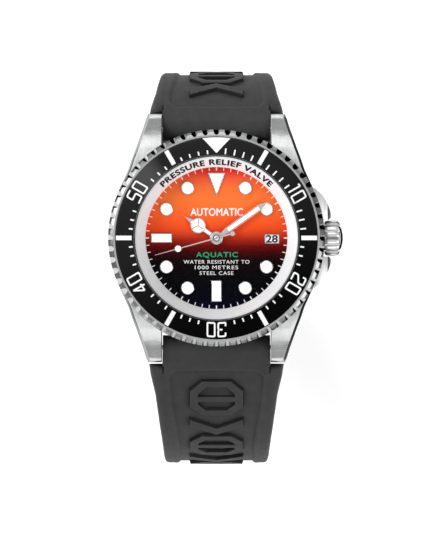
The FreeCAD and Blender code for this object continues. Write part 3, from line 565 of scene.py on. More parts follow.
RECIPES = {
    "steel_case": (brushed_steel, dict(
        color=(0.83, 0.835, 0.84), rough=(0.36, 0.52), metal=0.6, polished_bevels=True)),
    "steel_polished": (polished, dict(color=(0.60, 0.605, 0.615), rough=0.12)),
    "steel_satin": (satin_ring, dict(color=(0.80, 0.79, 0.80))),
    "sapphire": (sapphire, {}),
    "gasket": (plastic, dict(color=(0.02, 0.02, 0.021), rough=0.6, grain=2500.0)),
    "ring_plastic": (plastic, dict(color=(0.2, 0.2, 0.21), rough=0.5)),
    "dial_lacquer": (dial_lacquer, {}),
    "lume": (plastic, dict(
        color=(0.95, 0.955, 0.95), rough=0.65, grain=5200.0, bump=0.2, vary=0.03, spec=0.2,
        glow=0.3)),
    "bezel_ceramic": (plastic, dict(
        color=(0.0085, 0.0085, 0.009), rough=0.2, coat=0.04, spec=0.22, grain=900.0, bump=0.012,
        vary=0.15, room=True)),
    "strap_rubber": (rubber, dict(color=(0.042, 0.042, 0.0433), rough=0.66)),
    # painted shade: a darker copy of the rubber for the steep sides of the strap's blocks
    "strap_wall": (rubber, dict(color=(0.012, 0.012, 0.0125), rough=0.8)),
    "spring_steel": (polished, dict(color=(0.45, 0.48, 0.56), rough=0.15)),
    "movement_plate": (brushed_steel, dict(color=(0.66, 0.65, 0.62), stretch=(420, 60, 420))),
    "gilt_brass": (brushed_steel, dict(
        color=(0.82, 0.62, 0.28), stretch=(600, 600, 600), rough=(0.2, 0.32), bump=0.05)),
    "ruby": (plastic, dict(color=(0.55, 0.02, 0.12), rough=0.08, coat=0.6)),
    "date_white": (plastic, dict(
        color=(0.90, 0.91, 0.92), rough=0.5, grain=3000.0, bump=0.02, vary=0.02, glow=0.2)),
    "print_white": (plastic, dict(color=(0.90, 0.90, 0.90), vary=0.03, **PRINT)),
    "print_black": (plastic, dict(color=(0.008, 0.008, 0.009), **INK)),
    "print_green": (plastic, dict(color=srgb(20, 157, 113), **INK)),
    "print_navy": (plastic, dict(color=srgb(22, 34, 62), **INK)),
    # painted reflection and painted shade on the bezel's steel
    "bezel_steel": (room_steel, dict(
        color=(0.74, 0.745, 0.75), rough=0.22, dark=0.006, tilt=0.56,
        axis=(0.75, 0.66, 0.0), span=(-0.45, -0.05),
        edge=[(0.0, 1.0), (0.08, 0.95), (0.14, 0.62), (0.34, 0.42), (0.5, 0.34), (0.8, 0.12),
              (1.0, 0.03)],
        dim=((0.925, -0.38, 0.0), 0.35, 0.6, 0.32))),
    "scoop_steel": (room_steel, dict(
        color=(0.7, 0.705, 0.71), rough=0.26, dark=0.0015,
        axis=(0.6, 0.8, 0.0), span=(0.0, 0.3), edge=[(0.0, 1.0), (1.0, 0.6)])),
    # the zero axis gives every leaning face of the crown the painted dark reflection
    "crown_steel": (room_steel, dict(
        color=(0.93, 0.93, 0.94), rough=0.2, dark=0.008, tilt=0.58, metal=0.65,
        axis=(0.0, 0.0, 0.0), span=(-1.0, 0.0),
        edge=[(0.0, 1.0), (0.4, 0.9), (0.7, 0.4), (1.0, 0.05)])),
    "chapter_steel": (chapter_steel, {}),
    "hand_steel": (polished, dict(color=(0.74, 0.745, 0.76), rough=0.16, wear=0.08)),
    "hand_bright": (polished, dict(color=(0.75, 0.75, 0.755), rough=0.22, wear=0.08, metal=0.68)),
}
MAT = {name: make(name, **arguments) for name, (make, arguments) in RECIPES.items()}

# ------------------------------------------------------------------ CAD pieces
# pieces whose material is not that of their slot
OWN_MATERIAL = {"crown": "crown_steel", "bezel_ring": "bezel_steel",
                "rehaut_ring": "chapter_steel"}
# softened edges: (bevel width, segments)
SOFTENED = {
    "mid_case": (0.09, 2), "case_back": (0.08, 2), "crown": (0.07, 2), "rehaut_ring": (0.03, 1),
    "bezel_insert": (0.06, 2), "relief_valve": (0.08, 2), "buckle_frame": (0.3, 3),
    "buckle_bar": (0.1, 2), "buckle_tang": (0.15, 2), "dial": (0.03, 1)}

slot_of = {part["node"]: part["material_slot"] for part in frame["record"]["subparts"]}
for name, obj in NODES.items():
    obj.data.materials.clear()
    obj.data.materials.append(MAT[OWN_MATERIAL.get(name, slot_of[name])])
for name, (width, segments) in SOFTENED.items():
    if name in NODES:
        bevel(NODES[name], width, segments, angle=28)


def is_guard_edge(edge):
    """Upper rim of the crown guards: a sharp edge between a flat top and a wall, near +X."""
    if len(edge.link_faces) != 2:
        return False
    a, b = (face.normal for face in edge.link_faces)
    middle = (edge.verts[0].co + edge.verts[1].co) / 2
    return (a.angle(b, 0) > math.radians(35)
            and middle.x > 18.5 * MM and abs(middle.y) < 13.5 * MM and middle.z > 7.0 * MM
            and max(a.z, b.z) > 0.7 and min(a.z, b.z) < 0.3)


def round_crown_guards(obj):
    mesh = obj.data
    bm = bmesh.new()
    bm.from_mesh(mesh)
    weights = [float(is_guard_edge(edge)) for edge in bm.edges]
    bm.free()
    layer = "bevel_weight_edge"
    attribute = mesh.attributes.get(layer) or mesh.attributes.new(layer, "FLOAT", "EDGE")
    attribute.data.foreach_set("value", weights)
    modifier = obj.modifiers.new("guard_edge", "BEVEL")
    modifier.width = 0.5 * MM
    modifier.segments = 3
    modifier.limit_method = "WEIGHT"
    obj.modifiers.move(len(obj.modifiers) - 1, 0)


def paint_bezel_scoops(mesh):
    """Gives the grip scoops round the bezel's outer edge their own copy of the steel, with its own
    painted dark reflection.
    """
    mesh.materials.append(MAT["scoop_steel"])
    for face in mesh.polygons:
        centre, normal = face.center, face.normal
        radius = math.hypot(centre.x, centre.y)
        if radius < 20.7 * MM or centre.z < 11.0 * MM:
            continue
        # faces of the turned ring itself point straight out or up
        tangential = (normal.y * centre.x - normal.x * centre.y) / radius
        if abs(tangential) < 0.09 and (normal.z > 0.55 or abs(normal.z) < 0.05):
            continue
        face.material_index = 1


def smooth_piece(name, obj):
    """Drops the stored normals; welds, then splits at creases."""
    bpy.context.view_layer.objects.active = obj
    for other in bpy.context.selected_objects:
        other.select_set(False)
    obj.select_set(True)
    mesh = obj.data
    if mesh.has_custom_normals:
        bpy.ops.mesh.customdata_custom_splitnormals_clear()
    if mesh.attributes.get("sharp_edge"):
        mesh.attributes.remove(mesh.attributes["sharp_edge"])
    mesh.polygons.foreach_set("use_smooth", [True] * len(mesh.polygons))
    weld = obj.modifiers.new("join", "WELD")
    weld.merge_threshold = 2e-7
    obj.modifiers.move(len(obj.modifiers) - 1, 0)
    split = obj.modifiers.new("crease", "EDGE_SPLIT")
    split.split_angle = math.radians(12 if name == "bezel_ring" else 30)


round_crown_guards(NODES["mid_case"])
paint_bezel_scoops(NODES["bezel_ring"].data)
for name, obj in NODES.items():
    smooth_piece(name, obj)

# ------------------------------------------------------------------ bezel marks
# Marks are drawn flat as (x across, r outwards) and wrapped on the sloping insert.
MARK_TOP, MARK_LOW = 0.035, -0.03
DIGIT_W, DIGIT_H, DIGIT_GAP, DIGIT_FOOT = 1.48, 2.73, 0.72, 17.26
STROKE = 0.34
BAR_HALF, BAR_IN, BAR_OUT = 0.45, 17.2, 20.4
TICK_HALF, TICK_IN = 0.15, 17.08

# strokes of each digit, in shares of its width and height
DIGITS = {
    "0": [[(0, 0), (1, 0), (1, 1), (0, 1)]],
    "1": [[(0.8, 0), (0.8, 1), (0.42, 0.95)]],
    "2": [[(0, 0.74), (0, 1), (1, 1), (1, 0.6), (0, 0.34), (0, 0), (1.04, 0)]],
    "3": [[(0, 0.74), (0, 1), (1, 1), (1, 0.57), (0.84, 0.5), (1, 0.43), (1, 0), (0, 0),
           (0, 0.26)],
          [(0.42, 0.5), (0.9, 0.5)]],
    "4": [[(0.68, 0.03), (0.68, 1.0)], [(0.68, 1.0), (-0.04, 0.27)],
          [(-0.04, 0.27), (1.0, 0.27)]],
    "5": [[(1, 1), (0, 1), (0, 0.52), (1, 0.52), (1, 0), (0, 0)]]}


def on_bezel(minute):
    """Wraps flat marks on the insert, centred on the given minute."""
    middle = math.radians(90 - 6 * minute)

    def place(x, r, height):
        a = middle - x / r
        return r * math.cos(a), r * math.sin(a), 14.15 - 0.08 * (r - 16.8) + height
    return place


def rounded(path, closed, radius=0.26, steps=4):
    """Path with its corners rounded."""
    out = []
    n = len(path)
    for i, point in enumerate(path):
        if not closed and i in (0, n - 1):
            out.append(point)
            continue
        corner = Vector(point)
        back = Vector(path[i - 1]) - corner
        ahead = Vector(path[(i + 1) % n]) - corner
        reach = min(radius, back.length / 2.05, ahead.length / 2.05)
        start = corner + back.normalized() * reach
        end = corner + ahead.normalized() * reach
        for k in range(steps + 1):
            t = k / steps
            out.append(tuple(start * (1 - t) ** 2 + corner * 2 * t * (1 - t) + end * t * t))
    return out


def dense(path, closed, step=0.3):
    """Path with extra points, so that it follows the ring."""
    out = []
    n = len(path)
    for i in range(n if closed else n - 1):
        a, b = Vector(path[i]), Vector(path[(i + 1) % n])
        count = max(1, int((b - a).length / step))
        out += [tuple(a + (b - a) * j / count) for j in range(count)]
    if not closed:
        out.append(path[-1])
    return out


def ribbon(path, closed, place):
    """Thin raised stroke along a flat path, with mitred corners."""
    n = len(path)
    points = []
    for i in range(n):
        here = Vector(path[i])
        into = (here - Vector(path[i - 1])).normalized() if closed or i > 0 else None
        onward = into
        if closed or i < n - 1:
            onward = (Vector(path[(i + 1) % n]) - here).normalized()
        into = into or onward
        normal = Vector((-into.y, into.x))
        mitre = (normal + Vector((-onward.y, onward.x))).normalized()
        reach = STROKE / 2 / max(0.5, mitre.dot(normal))
        a, b = here + mitre * reach, here - mitre * reach
        points += [place(a.x, a.y, MARK_TOP), place(b.x, b.y, MARK_TOP),
                   place(b.x, b.y, MARK_LOW), place(a.x, a.y, MARK_LOW)]
    faces = []
    for i in range(n if closed else n - 1):
        a, b = 4 * i, 4 * ((i + 1) % n)
        faces += [(a + k, a + (k + 1) % 4, b + (k + 1) % 4, b + k) for k in range(4)]
    if not closed:
        end = 4 * (n - 1)
        faces += [(0, 3, 2, 1), (end, end + 1, end + 2, end + 3)]
    return points, faces


def patch(corners, place, steps=6):
    """Flat polygon as a thin raised solid, its edges subdivided to follow the ring."""
    outline = []
    n = len(corners)
    for i in range(n):
        (ax, ar), (bx, br) = corners[i], corners[(i + 1) % n]
        for k in range(steps):
            t = k / steps
            outline.append((ax + (bx - ax) * t, ar + (br - ar) * t))
    m = len(outline)
    points = [place(x, r, height) for height in (MARK_TOP, MARK_LOW) for x, r in outline]
    faces = [tuple(range(m)), tuple(range(m, 2 * m))[::-1]]
    faces += [(i, m + i, m + (i + 1) % m, (i + 1) % m) for i in range(m)]
    return points, faces


def bar_patch(half, inner, outer, place, steps=6):
    return patch([(-half, inner), (-half, outer), (half, outer), (half, inner)], place, steps)


def numeral(minute):
    strokes = []
    for k, digit in enumerate(str(minute)):
        left = -(2 * DIGIT_W + DIGIT_GAP) / 2 + k * (DIGIT_W + DIGIT_GAP)
        closed = digit == "0"
        for path in DIGITS[digit]:
            path = [(left + x * DIGIT_W, DIGIT_FOOT + y * DIGIT_H) for x, y in path]
            strokes.append(ribbon(dense(rounded(path, closed), closed), closed, on_bezel(minute)))
    return merge(*strokes)


marks = [numeral(minute) for minute in (10, 20, 30, 40, 50)]
marks += [bar_patch(BAR_HALF, BAR_IN, BAR_OUT, on_bezel(minute)) for minute in range(5, 60, 10)]
for minute in range(1, 60):
    beside_numeral = minute % 10 in (1, 9) and 12 < minute < 52
    if minute % 5 and not beside_numeral:
        outer = 18.25 if minute < 15 else 17.85
        marks.append(bar_patch(TICK_HALF, TICK_IN, outer, on_bezel(minute), steps=3))
marks.append(patch([(-2.85, BAR_OUT), (2.85, BAR_OUT), (0.12, 17.3), (-0.12, 17.3)],
                   on_bezel(0), steps=12))
add("bezel_marks", merge(*marks), "print_white", "bezel", "bezel_ceramic", crease=20)


def bezel_pip():
    """Domed dot of glow paint in the triangle at 12, closed underneath."""
    steps = 40
    points, faces = lathe([(0, 0.11), (0.28, 0.10), (0.44, 0.05), (0.5, -0.03)], steps)
    place = on_bezel(0)
    bottom = tuple(range(len(points) - steps, len(points)))
    return [place(x, 19.25 + y, z + 0.04) for x, y, z in points], faces + [bottom]


add("bezel_pip", bezel_pip(), "lume", "bezel", "lume", crease=50)


# ------------------------------------------------------------------ chapter ring lettering
def on_chapter_ring(x, y, height):
    """Wraps flat lettering on the ring's wall, which leans out from (r 14.45, z 8.8)
    to (r 16.3, z 11.45)."""
    up_wall = 0.27 + y * 0.53
    r = 14.45 + 1.85 * up_wall - 0.82 * height
    z = 8.8 + 2.65 * up_wall + 0.57 * height
    a = math.pi / 2 - x / 15.55
    return r * math.cos(a), r * math.sin(a), z


letters = text_solid("PRESSURE RELIEF VALVE", 25.0, 1.06, depth=0.03, spacing=1.1)
points, faces = emboldened(letters, across=0.1, up=0.06, lift=0.002)
add("chapter_lettering", ([on_chapter_ring(x, y, z - 0.005) for x, y, z in points], faces),
    "print_black", "case", "steel_satin", crease=20)

# ------------------------------------------------------------------ dial printing
DIAL_Z = 8.5

ticks = []
for minute in range(60):
    half = (0.08 if minute % 5 else 0.12)
    tick = plate(rect(13.72, 14.4, -half, half), DIAL_Z - 0.02, DIAL_Z + 0.03)
    ticks.append(turned(tick, 90 - 6 * minute))
add("dial_minute_track", merge(*ticks), "print_white", "case", "dial_lacquer", crease=20)

# name, words, middle x, foot y, width, height, material, extra boldness, letter spacing
DIAL_TEXTS = [
    ("upper", "AUTOMATIC", 0.05, 4.5, 10.7, 1.6, "print_white", 0.045, 1.05),
    ("lower", "AQUATIC", 0.1, -4.1, 8.5, 1.25, "print_green", 0.035, 1.15),
    ("small_a", "WATER RESISTANT TO", 0.0, -5.22, 13.4, 0.74, "print_white", 0.0, 1.15),
    ("small_b", "1000 METRES", 0.0, -6.36, 8.8, 0.74, "print_white", 0.0, 1.15),
    ("small_c", "STEEL CASE", 0.0, -7.5, 6.9, 0.72, "print_white", 0.0, 1.15)]
for name, words, x, foot, width, height, ink, bold, spacing in DIAL_TEXTS:
    letters = text_solid(words, width - 2 * bold, height - 2 * bold, depth=0.04, spacing=spacing)
    if bold:
        letters = emboldened(letters, across=bold, up=bold, lift=0.0015)
    add("dial_text_" + name, moved(letters, x, foot + bold, DIAL_Z - 0.015), ink, "case",
        "dial_lacquer", crease=20)

# thin rim round the date window
add("date_window_frame",
    plate(rounded_rect(9.74, 12.81, -1.16, 0.81, radius=0.1, steps=5), 8.48, 8.55,
          hole=rounded_rect(9.82, 12.73, -1.08, 0.73, radius=0.06, steps=5)),
    "print_navy", "case", "dial_lacquer", crease=30)

# printed face of the date disc, which reaches inwards over its teeth
DATE_Z = 8.078
add("date_face", lathe([(9.66, 8.055), (12.88, 8.055), (12.88, DATE_Z), (9.66, DATE_Z)], 180),
    "date_white", "date_disc", "date_white", crease=30)

DAYS, DAY_SHOWN = 31, 28
numbers = []
for day in range(1, DAYS + 1):
    width = 2.42 if day > 9 else 1.1
    number = text_solid(str(day), width, 1.58, depth=0.016, fatten=0.028)
    number = moved(number, 11.28, -0.965, DATE_Z - 0.008)
    numbers.append(turned(number, -(DAY_SHOWN - day) * 360.0 / DAYS))
add("date_numbers", merge(*numbers), "print_navy", "date_disc", "date_white", crease=20)

# ------------------------------------------------------------------ crown
CROWN_Z = 5.8
CROWN_STEPS, FLUTES = 224, 14
LAND = 0.62  # share of each flute's half pitch taken by its rounded land
BORE_FLOOR_X = 24.3
# from the bore out to the domed end: (x, radius, share of the flute depth)
CROWN_OUTLINE = [
    (BORE_FLOOR_X, 1.62, 0), (22.0, 1.62, 0), (22.0, 2.9, 0), (22.02, 3.2, 0),
    (22.12, 3.34, 0.5), (22.3, 3.5, 1), (22.6, 3.56, 1), (23.4, 3.58, 1), (24.2, 3.56, 1),
    (24.6, 3.5, 1), (24.85, 3.38, 0.8), (25.0, 3.2, 0.4), (25.08, 3.0, 0), (25.1, 2.7, 0),
    (25.04, 2.6, 0), (25.04, 2.5, 0), (25.14, 2.42, 0), (25.36, 2.1, 0), (25.55, 1.6, 0),
    (25.68, 1.0, 0), (25.74, 0.5, 0)]
CROWN_TIP_X = 25.75


def crown():
    """Crown on the X axis, with rounded lands between narrow cut grooves."""
    points = []
    for x, radius, share in CROWN_OUTLINE:
        for i in range(CROWN_STEPS):
            a = 2 * math.pi * i / CROWN_STEPS
            across = abs(i * FLUTES / CROWN_STEPS % 1.0 - 0.5) * 2
            land = -0.10 * (min(across, LAND) / LAND) ** 2
            groove = 0.42 * smooth_step((across - LAND) / 0.3)
            r = radius + share * (land - groove)
            points.append((x, r * math.sin(a), CROWN_Z + r * math.cos(a)))
    tip = len(points)
    points += [(CROWN_TIP_X, 0.0, CROWN_Z), (BORE_FLOOR_X, 0.0, CROWN_Z)]
    last = tip - CROWN_STEPS
    faces = []
    for start in range(0, tip, CROWN_STEPS):
        for i in range(CROWN_STEPS):
            a, b = start + i, start + (i + 1) % CROWN_STEPS
            if start == last:
                faces.append((a, b, tip))
            else:
                faces.append((a, b, b + CROWN_STEPS, a + CROWN_STEPS))
    faces += [((i + 1) % CROWN_STEPS, i, tip + 1) for i in range(CROWN_STEPS)]
    return points, faces


add("crown_body", crown(), "crown_steel", "crown", "steel_polished", crease=40,
    replaces=("crown",))

# ------------------------------------------------------------------ hour markers
MARKER_R, MARKER_FOOT = 11.75, 8.49
# (radius, z)
DOT_FRAME = [(1.16, MARKER_FOOT), (1.34, MARKER_FOOT), (1.34, 8.82), (1.30, 8.88), (1.22, 8.9),
             (1.16, 8.85)]
DOT_GLOW = [(0, 8.885), (0.5, 8.88), (0.85, 8.86), (1.08, 8.82), (1.17, 8.76),
            (1.17, MARKER_FOOT), (0, MARKER_FOOT)]
BAR_RIM = 0.16


def subdivided(polygon, steps=6):
    out = []
    for i, corner in enumerate(polygon):
        a, b = Vector(corner), Vector(polygon[(i + 1) % len(polygon)])
        out += [tuple(a + (b - a) * k / steps) for k in range(steps)]
    return out


frames, glows = [], []
for hour in (1, 2, 4, 5, 7, 8, 10, 11):
    a = math.radians(90 - 30 * hour)
    centre = (MARKER_R * math.cos(a), MARKER_R * math.sin(a))
    frames.append(lathe(DOT_FRAME, 56, centre))
    glows.append(lathe(DOT_GLOW, 48, centre))

# the triangle at 12 and the bars at 6 and 9: (outer, inner) outlines
framed = [([(-1.78, 13.27), (1.78, 13.27), (0.0, 8.57)],
           [(-1.5, 13.1), (1.5, 13.1), (0.0, 9.05)])]
for x0, x1, y0, y1 in ((-1.03, 1.03, -12.95, -8.66), (-13.3, -9.05, -0.93, 0.93)):
    framed.append((rect(x0, x1, y0, y1),
                   rect(x0 + BAR_RIM, x1 - BAR_RIM, y0 + BAR_RIM, y1 - BAR_RIM)))
for outer, inner in framed:
    frames.append(plate(subdivided(outer), MARKER_FOOT, 8.9, hole=subdivided(inner)))
    glows.append(plate(inner, MARKER_FOOT, 8.85))
add("marker_frames", merge(*frames), "hand_steel", "case", "steel_polished", crease=30,
    replaces=("hour_markers",), edge=0.03)
add("marker_glow", merge(*glows), "lume", "case", "lume", crease=30,
    replaces=("marker_lume",), edge=0.05)

# ------------------------------------------------------------------ hands
# Each hand is drawn along +X and turned; angles after 90 run clockwise from 12.
HOUR_TURN, MINUTE_TURN, SECOND_TURN = 90 - 304, 90 - 54.7, 90 - 254.4


def add_hand_part(name, solid, turn, material, body, slot, **options):
    add(name, turned(solid, turn), material, body, slot, **options)


# hour hand: a hub, a stem, a three-armed disc and an arrow tip
HOUR_Z = 8.95
DISC = (4.5, 0)
hour_steel = [
    lathe([(0.97, HOUR_Z), (1.3, HOUR_Z), (1.3, 9.11), (1.25, 9.15), (0.97, 9.15)], 64),
    lathe([(1.29, HOUR_Z), (1.55, HOUR_Z), (1.55, 9.12), (1.51, 9.16), (1.33, 9.16),
           (1.29, 9.12)], 72, DISC),
    plate(rect(1.2, 3.02, -0.42, 0.42), HOUR_Z, 9.14),
    plate([(5.98, -0.5), (7.85, 0.0), (5.98, 0.5)], HOUR_Z, 9.14),
    lathe([(0, HOUR_Z), (0.26, HOUR_Z), (0.26, 9.14), (0.2, 9.17), (0, 9.18)], 32, DISC)]
for turn in (60, 180, 300):
    arm = plate(rect(DISC[0], 5.9, -0.15, 0.15), 8.96, 9.15)
    hour_steel.append(turned(arm, turn, DISC))
hour_glow = [
    lathe([(0, 9.12), (1.0, 9.115), (1.31, 9.08), (1.31, 8.98), (0, 8.98)], 56, DISC),
    plate(rect(1.5, 2.85, -0.25, 0.25), 9.1, 9.152)]
add_hand_part("hour_hand_steel", merge(*hour_steel), HOUR_TURN, "hand_bright", "hours",
              "steel_polished", crease=30, replaces=("hour_hand",), edge=0.025)
add_hand_part("hour_hand_glow", merge(*hour_glow), HOUR_TURN, "lume", "hours", "lume", crease=40)

# minute hand: a hub, a windowed blade, its tip and its root
MINUTE_Z, MINUTE_TOP = 9.4, 9.58
minute_steel = [
    lathe([(0.63, MINUTE_Z), (1.15, MINUTE_Z), (1.15, 9.55), (1.1, 9.59), (0.63, 9.59)], 64),
    plate(rect(2.75, 10.75, -0.6, 0.6), MINUTE_Z, MINUTE_TOP,
          hole=rect(2.85, 10.6, -0.34, 0.34)),
    plate([(10.7, -0.6), (10.75, -0.6), (12.65, 0.0), (10.75, 0.6), (10.7, 0.6)],
          MINUTE_Z, MINUTE_TOP),
    plate([(1.0, -0.26), (2.8, -0.6), (2.8, 0.6), (1.0, 0.26)], MINUTE_Z, MINUTE_TOP)]
add_hand_part("minute_hand_steel", merge(*minute_steel), MINUTE_TURN, "hand_bright", "minutes",
              "steel_polished", crease=30, replaces=("minute_hand",), edge=0.02)
add_hand_part("minute_hand_glow", plate(rect(2.87, 10.58, -0.33, 0.33), 9.42, 9.565),
              MINUTE_TURN, "lume", "minutes", "lume", crease=30, edge=0.04)

# second hand: a needle, a stepped hub, a round tail and a ring that holds the glow dot
SECOND_Z = 9.85
DOT, TAIL = (8.1, 0), (-3.4, 0)
second_steel = [
    plate([(-3.4, -0.16), (0.0, -0.13), (8.2, -0.1), (13.0, -0.045), (13.0, 0.045), (8.2, 0.1),
           (0.0, 0.13), (-3.4, 0.16)], 9.86, 9.96),
    lathe([(0, SECOND_Z), (0.93, SECOND_Z), (0.93, 9.95), (0.86, 10.0), (0.6, 10.0),
           (0.56, 10.04), (0.5, 10.17), (0.42, 10.22), (0, 10.24)], 64),
    lathe([(0, SECOND_Z), (0.5, SECOND_Z), (0.5, 9.94), (0.45, 9.98), (0, 9.985)], 40, TAIL),
    lathe([(0.58, SECOND_Z), (0.7, SECOND_Z), (0.7, 9.95), (0.67, 9.985), (0.6, 9.985),
           (0.58, 9.96)], 48, DOT)]
add_hand_part("second_hand_steel", merge(*second_steel), SECOND_TURN, "hand_bright", "seconds",
              "steel_polished", crease=35, replaces=("second_hand",))
# painted shade: a black ring stands in for the shade in a groove round the hub; a black dot sits on
# its tip
add("second_hub_painted_groove",
    merge(lathe([(0.58, 9.985), (0.73, 9.985), (0.73, 10.006), (0.58, 10.006)], 64),
          lathe([(0, 10.2), (0.1, 10.2), (0.1, 10.244), (0, 10.247)], 24)),
    "print_black", "seconds", "steel_polished", crease=20)
add_hand_part("second_hand_glow",
              lathe([(0, 9.99), (0.4, 9.985), (0.59, 9.95), (0.59, 9.87), (0, 9.87)], 40, DOT),
              SECOND_TURN, "lume", "seconds", "lume", crease=50)

# ------------------------------------------------------------------ straps
# A strap is laid out by s, the distance along its outer face from the end of the neck,
# by x across it and by depth below the outer face.
BAR_Y, BAR_Z, BAR_HOLE_R = 22.3, 3.2, 0.85  # spring bar
HEAD_R = 2.5       # rounded head of the strap, about the spring bar
NECK = 3.4         # from the spring bar to s = 0
STRAP_T = 3.7
WRAP_R = STRAP_T / 2
TIP_LEN = 9.0      # length of the rounded tip
PANEL_START = 0.9
FLOOR, STEP = -0.42, 0.72  # depth of the sunk panel, height of the blocks in it
MOTIF_HALF, MOTIF_GAP = 5.5, 0.75
MIDDLE = 6.6       # half width of the evenly spaced middle columns
INNER_COLUMNS, SIDE_COLUMNS = 67, 26
NECK_COLUMNS = 17  # side columns inside the shoulder step
STEP_IN, STEP_X, STEP_OUT = 10.94, 10.98, 11.02  # x on either side of the step, and of it
SHOULDER_LEN = 3.0
ROUND_BOTTOM = 0.55
# half width by distance: s, half width
WIDTH_S, WIDTH_HALF = zip(
    (0, 13.8), (3, 13.45), (8, 12.5), (14, 11.9), (22, 11.3), (28, 11.0), (36, 10.8),
    (60, 10.3), (80, 10.0))

# side: sign of y; lean: downward angle at the neck; arcs: (length, radius) of the bends,
# after which it runs straight; wraps: ends round the buckle bar, not in a rounded tip
STRAP_6 = dict(side=-1, lean=30.0, arcs=[(59.9, 40.4), (60.0, 78.0)], length=112.0,
               panel_end=52.0, wraps=False)
STRAP_12 = dict(side=1, lean=50.0, arcs=[(41.3, 33.8)], length=66.0, panel_end=45.0, wraps=True)


def strap_path(strap, s):
    """Outer face at s, from the spring bar: outward distance, height and downward angle."""
    angle = math.radians(strap["lean"])
    out = HEAD_R * math.sin(angle) + NECK * math.cos(angle)
    up = HEAD_R * math.cos(angle) - NECK * math.sin(angle)
    if s > 0:
        for length, radius in strap["arcs"]:
            run = min(s, length)
            bent = angle + run / radius
            out += radius * (math.sin(bent) - math.sin(angle))
            up -= radius * (math.cos(angle) - math.cos(bent))
            angle = bent
            s -= run
    return out + s * math.cos(angle), up - s * math.sin(angle), angle


def strap_place(strap, x, s, depth):
    out, up, angle = strap_path(strap, s)
    return (x, strap["side"] * (BAR_Y + out - depth * math.sin(angle)),
            BAR_Z + up - depth * math.cos(angle))


def neck_place(strap, x, s, depth):
    """Like strap_place, but forms the round head and the shoulders beside it."""
    if abs(x) > STEP_X and s < SHOULDER_LEN:
        # the shoulder starts at a slanting plane and is eased in over its length
        start = (3.34 - (HEAD_R - depth) * 0.546) / 0.838 - NECK
        s = start + max(s, 0) * (SHOULDER_LEN - start) / SHOULDER_LEN
    elif s < 0:
        along = s + NECK
        if along < 2.19:
            half = math.sqrt(max(0.0, HEAD_R ** 2 - along ** 2))
            if along < 0:
                depth = HEAD_R - half + depth / STRAP_T * 2 * half
            else:
                depth = depth / STRAP_T * (HEAD_R + half)
    return strap_place(strap, x, s, depth)


def to_rounded_box(x, y, half_x, half_y, radius):
    """Signed distance to a box with rounded corners."""
    dx, dy = abs(x) - half_x + radius, abs(y) - half_y + radius
    return math.hypot(max(dx, 0), max(dy, 0)) + min(max(dx, dy), 0.0) - radius


def to_cut_box(x, y, half_x, half_y, cut):
    """Signed distance to a box whose corners are cut off."""
    dx, dy = abs(x) - half_x, abs(y) - half_y
    return max(dx, dy, (dx + dy + cut) * 0.7071)


def motif_height(x, s, motifs):
    """Height of the raised blocks in the sunk panel, 0 to 1."""
    best = 0.0
    for kind, start, end in motifs:
        if s < start - 0.4 or s > end + 0.4:
            continue
        half = (end - start) / 2
        y = s - (start + end) / 2
        if kind == "link":
            # long six-sided link with a bar across its middle
            window = max(to_cut_box(x, y, MOTIF_HALF - 1.85, half - 1.7, 1.6), 0.75 - abs(y))
            distance = max(to_cut_box(x, y, MOTIF_HALF, half, 2.4), -window)
        else:
            # thick chevron pointing away from the case
            distance = max(abs(y - 1.9 + abs(x) * 0.55) - 1.25, abs(x) - MOTIF_HALF)
        best = max(best, smooth_step(0.5 - distance / 0.22))
    return best


def motif_layout(start, end, sequence):
    out = []
    i = 0
    while start + sequence[i % len(sequence)][1] < end:
        kind, length = sequence[i % len(sequence)]
        out.append((kind, start, start + length))
        start += length + MOTIF_GAP
        i += 1
    return out


def relief(x, s, panel_end, raised):
    """Height of the outer face above its plain surface, for s from 0."""
    panel_half = 9.65 - 2.0 * smooth_step(s / 26.0)
    distance = to_rounded_box(x, s - (PANEL_START + panel_end) / 2, panel_half,
                              (panel_end - PANEL_START) / 2, 2.2)
    sunk = smooth_step(0.5 - distance / 0.5)
    height = FLOOR * sunk + STEP * raised * sunk
    # beside the lugs the shoulders sit lower than the middle
    beside = smooth_step((abs(x) - 10.6) / 0.4)
    height -= 0.5 * (1 - smooth_step(s / 3.4)) * beside
    height -= 0.9 * max(0.0, 1 - s / 1.8) ** 2 * beside
    # fine rib round the panel
    if s > 1.5:
        height += 0.07 * math.exp(-((distance - 0.75) / 0.22) ** 2)
    return height


def rounding(x, half, radius):
    """Drop of a rounded edge at x."""
    into = min(max(0.0, abs(x) - (half - radius)), radius)
    return radius - math.sqrt(max(0.0, radius * radius - into ** 2))


def strap_stations(strap):
    """Values of s: round the head, along the decorated part, the plain part and the end."""
    length, plain = strap["length"], strap["panel_end"] + 2.0
    rows = [-HEAD_R * math.cos(math.pi * i / 24) - NECK for i in range(13)]
    rows += [NECK * i / 10 - NECK for i in range(1, 10)]
    rows += list(np.arange(0.0, plain, 0.2))
    rows += list(np.arange(plain, length - (0.3 if strap["wraps"] else TIP_LEN), 0.6))
    if strap["wraps"]:
        return rows + [length + WRAP_R * math.sin(math.pi / 2 * i / 10) for i in range(11)]
    return rows + [length - TIP_LEN + TIP_LEN * math.sin(math.pi / 2 * i / 26)
                   for i in range(27)]


def strap_section(strap, s):
    """Half width at s, and how much each face is drawn in there."""
    half = float(np.interp(s, WIDTH_S, WIDTH_HALF))
    past = s - strap["length"]
    thin = 0.0
    if strap["wraps"]:
        if past > 0:
            thin = WRAP_R - math.sqrt(max(0.0, WRAP_R ** 2 - past ** 2))
        return half, thin
    if past > -TIP_LEN:
        share = (s - (strap["length"] - TIP_LEN)) / TIP_LEN
        half = max(half * math.sqrt(max(1e-4, 1 - share ** 2.6)), 0.35)
    if past > -1.4:
        share = (s - (strap["length"] - 1.4)) / 1.4
        thin = 1.35 * (1 - math.sqrt(1 - share * share * 0.97))
    return half, thin


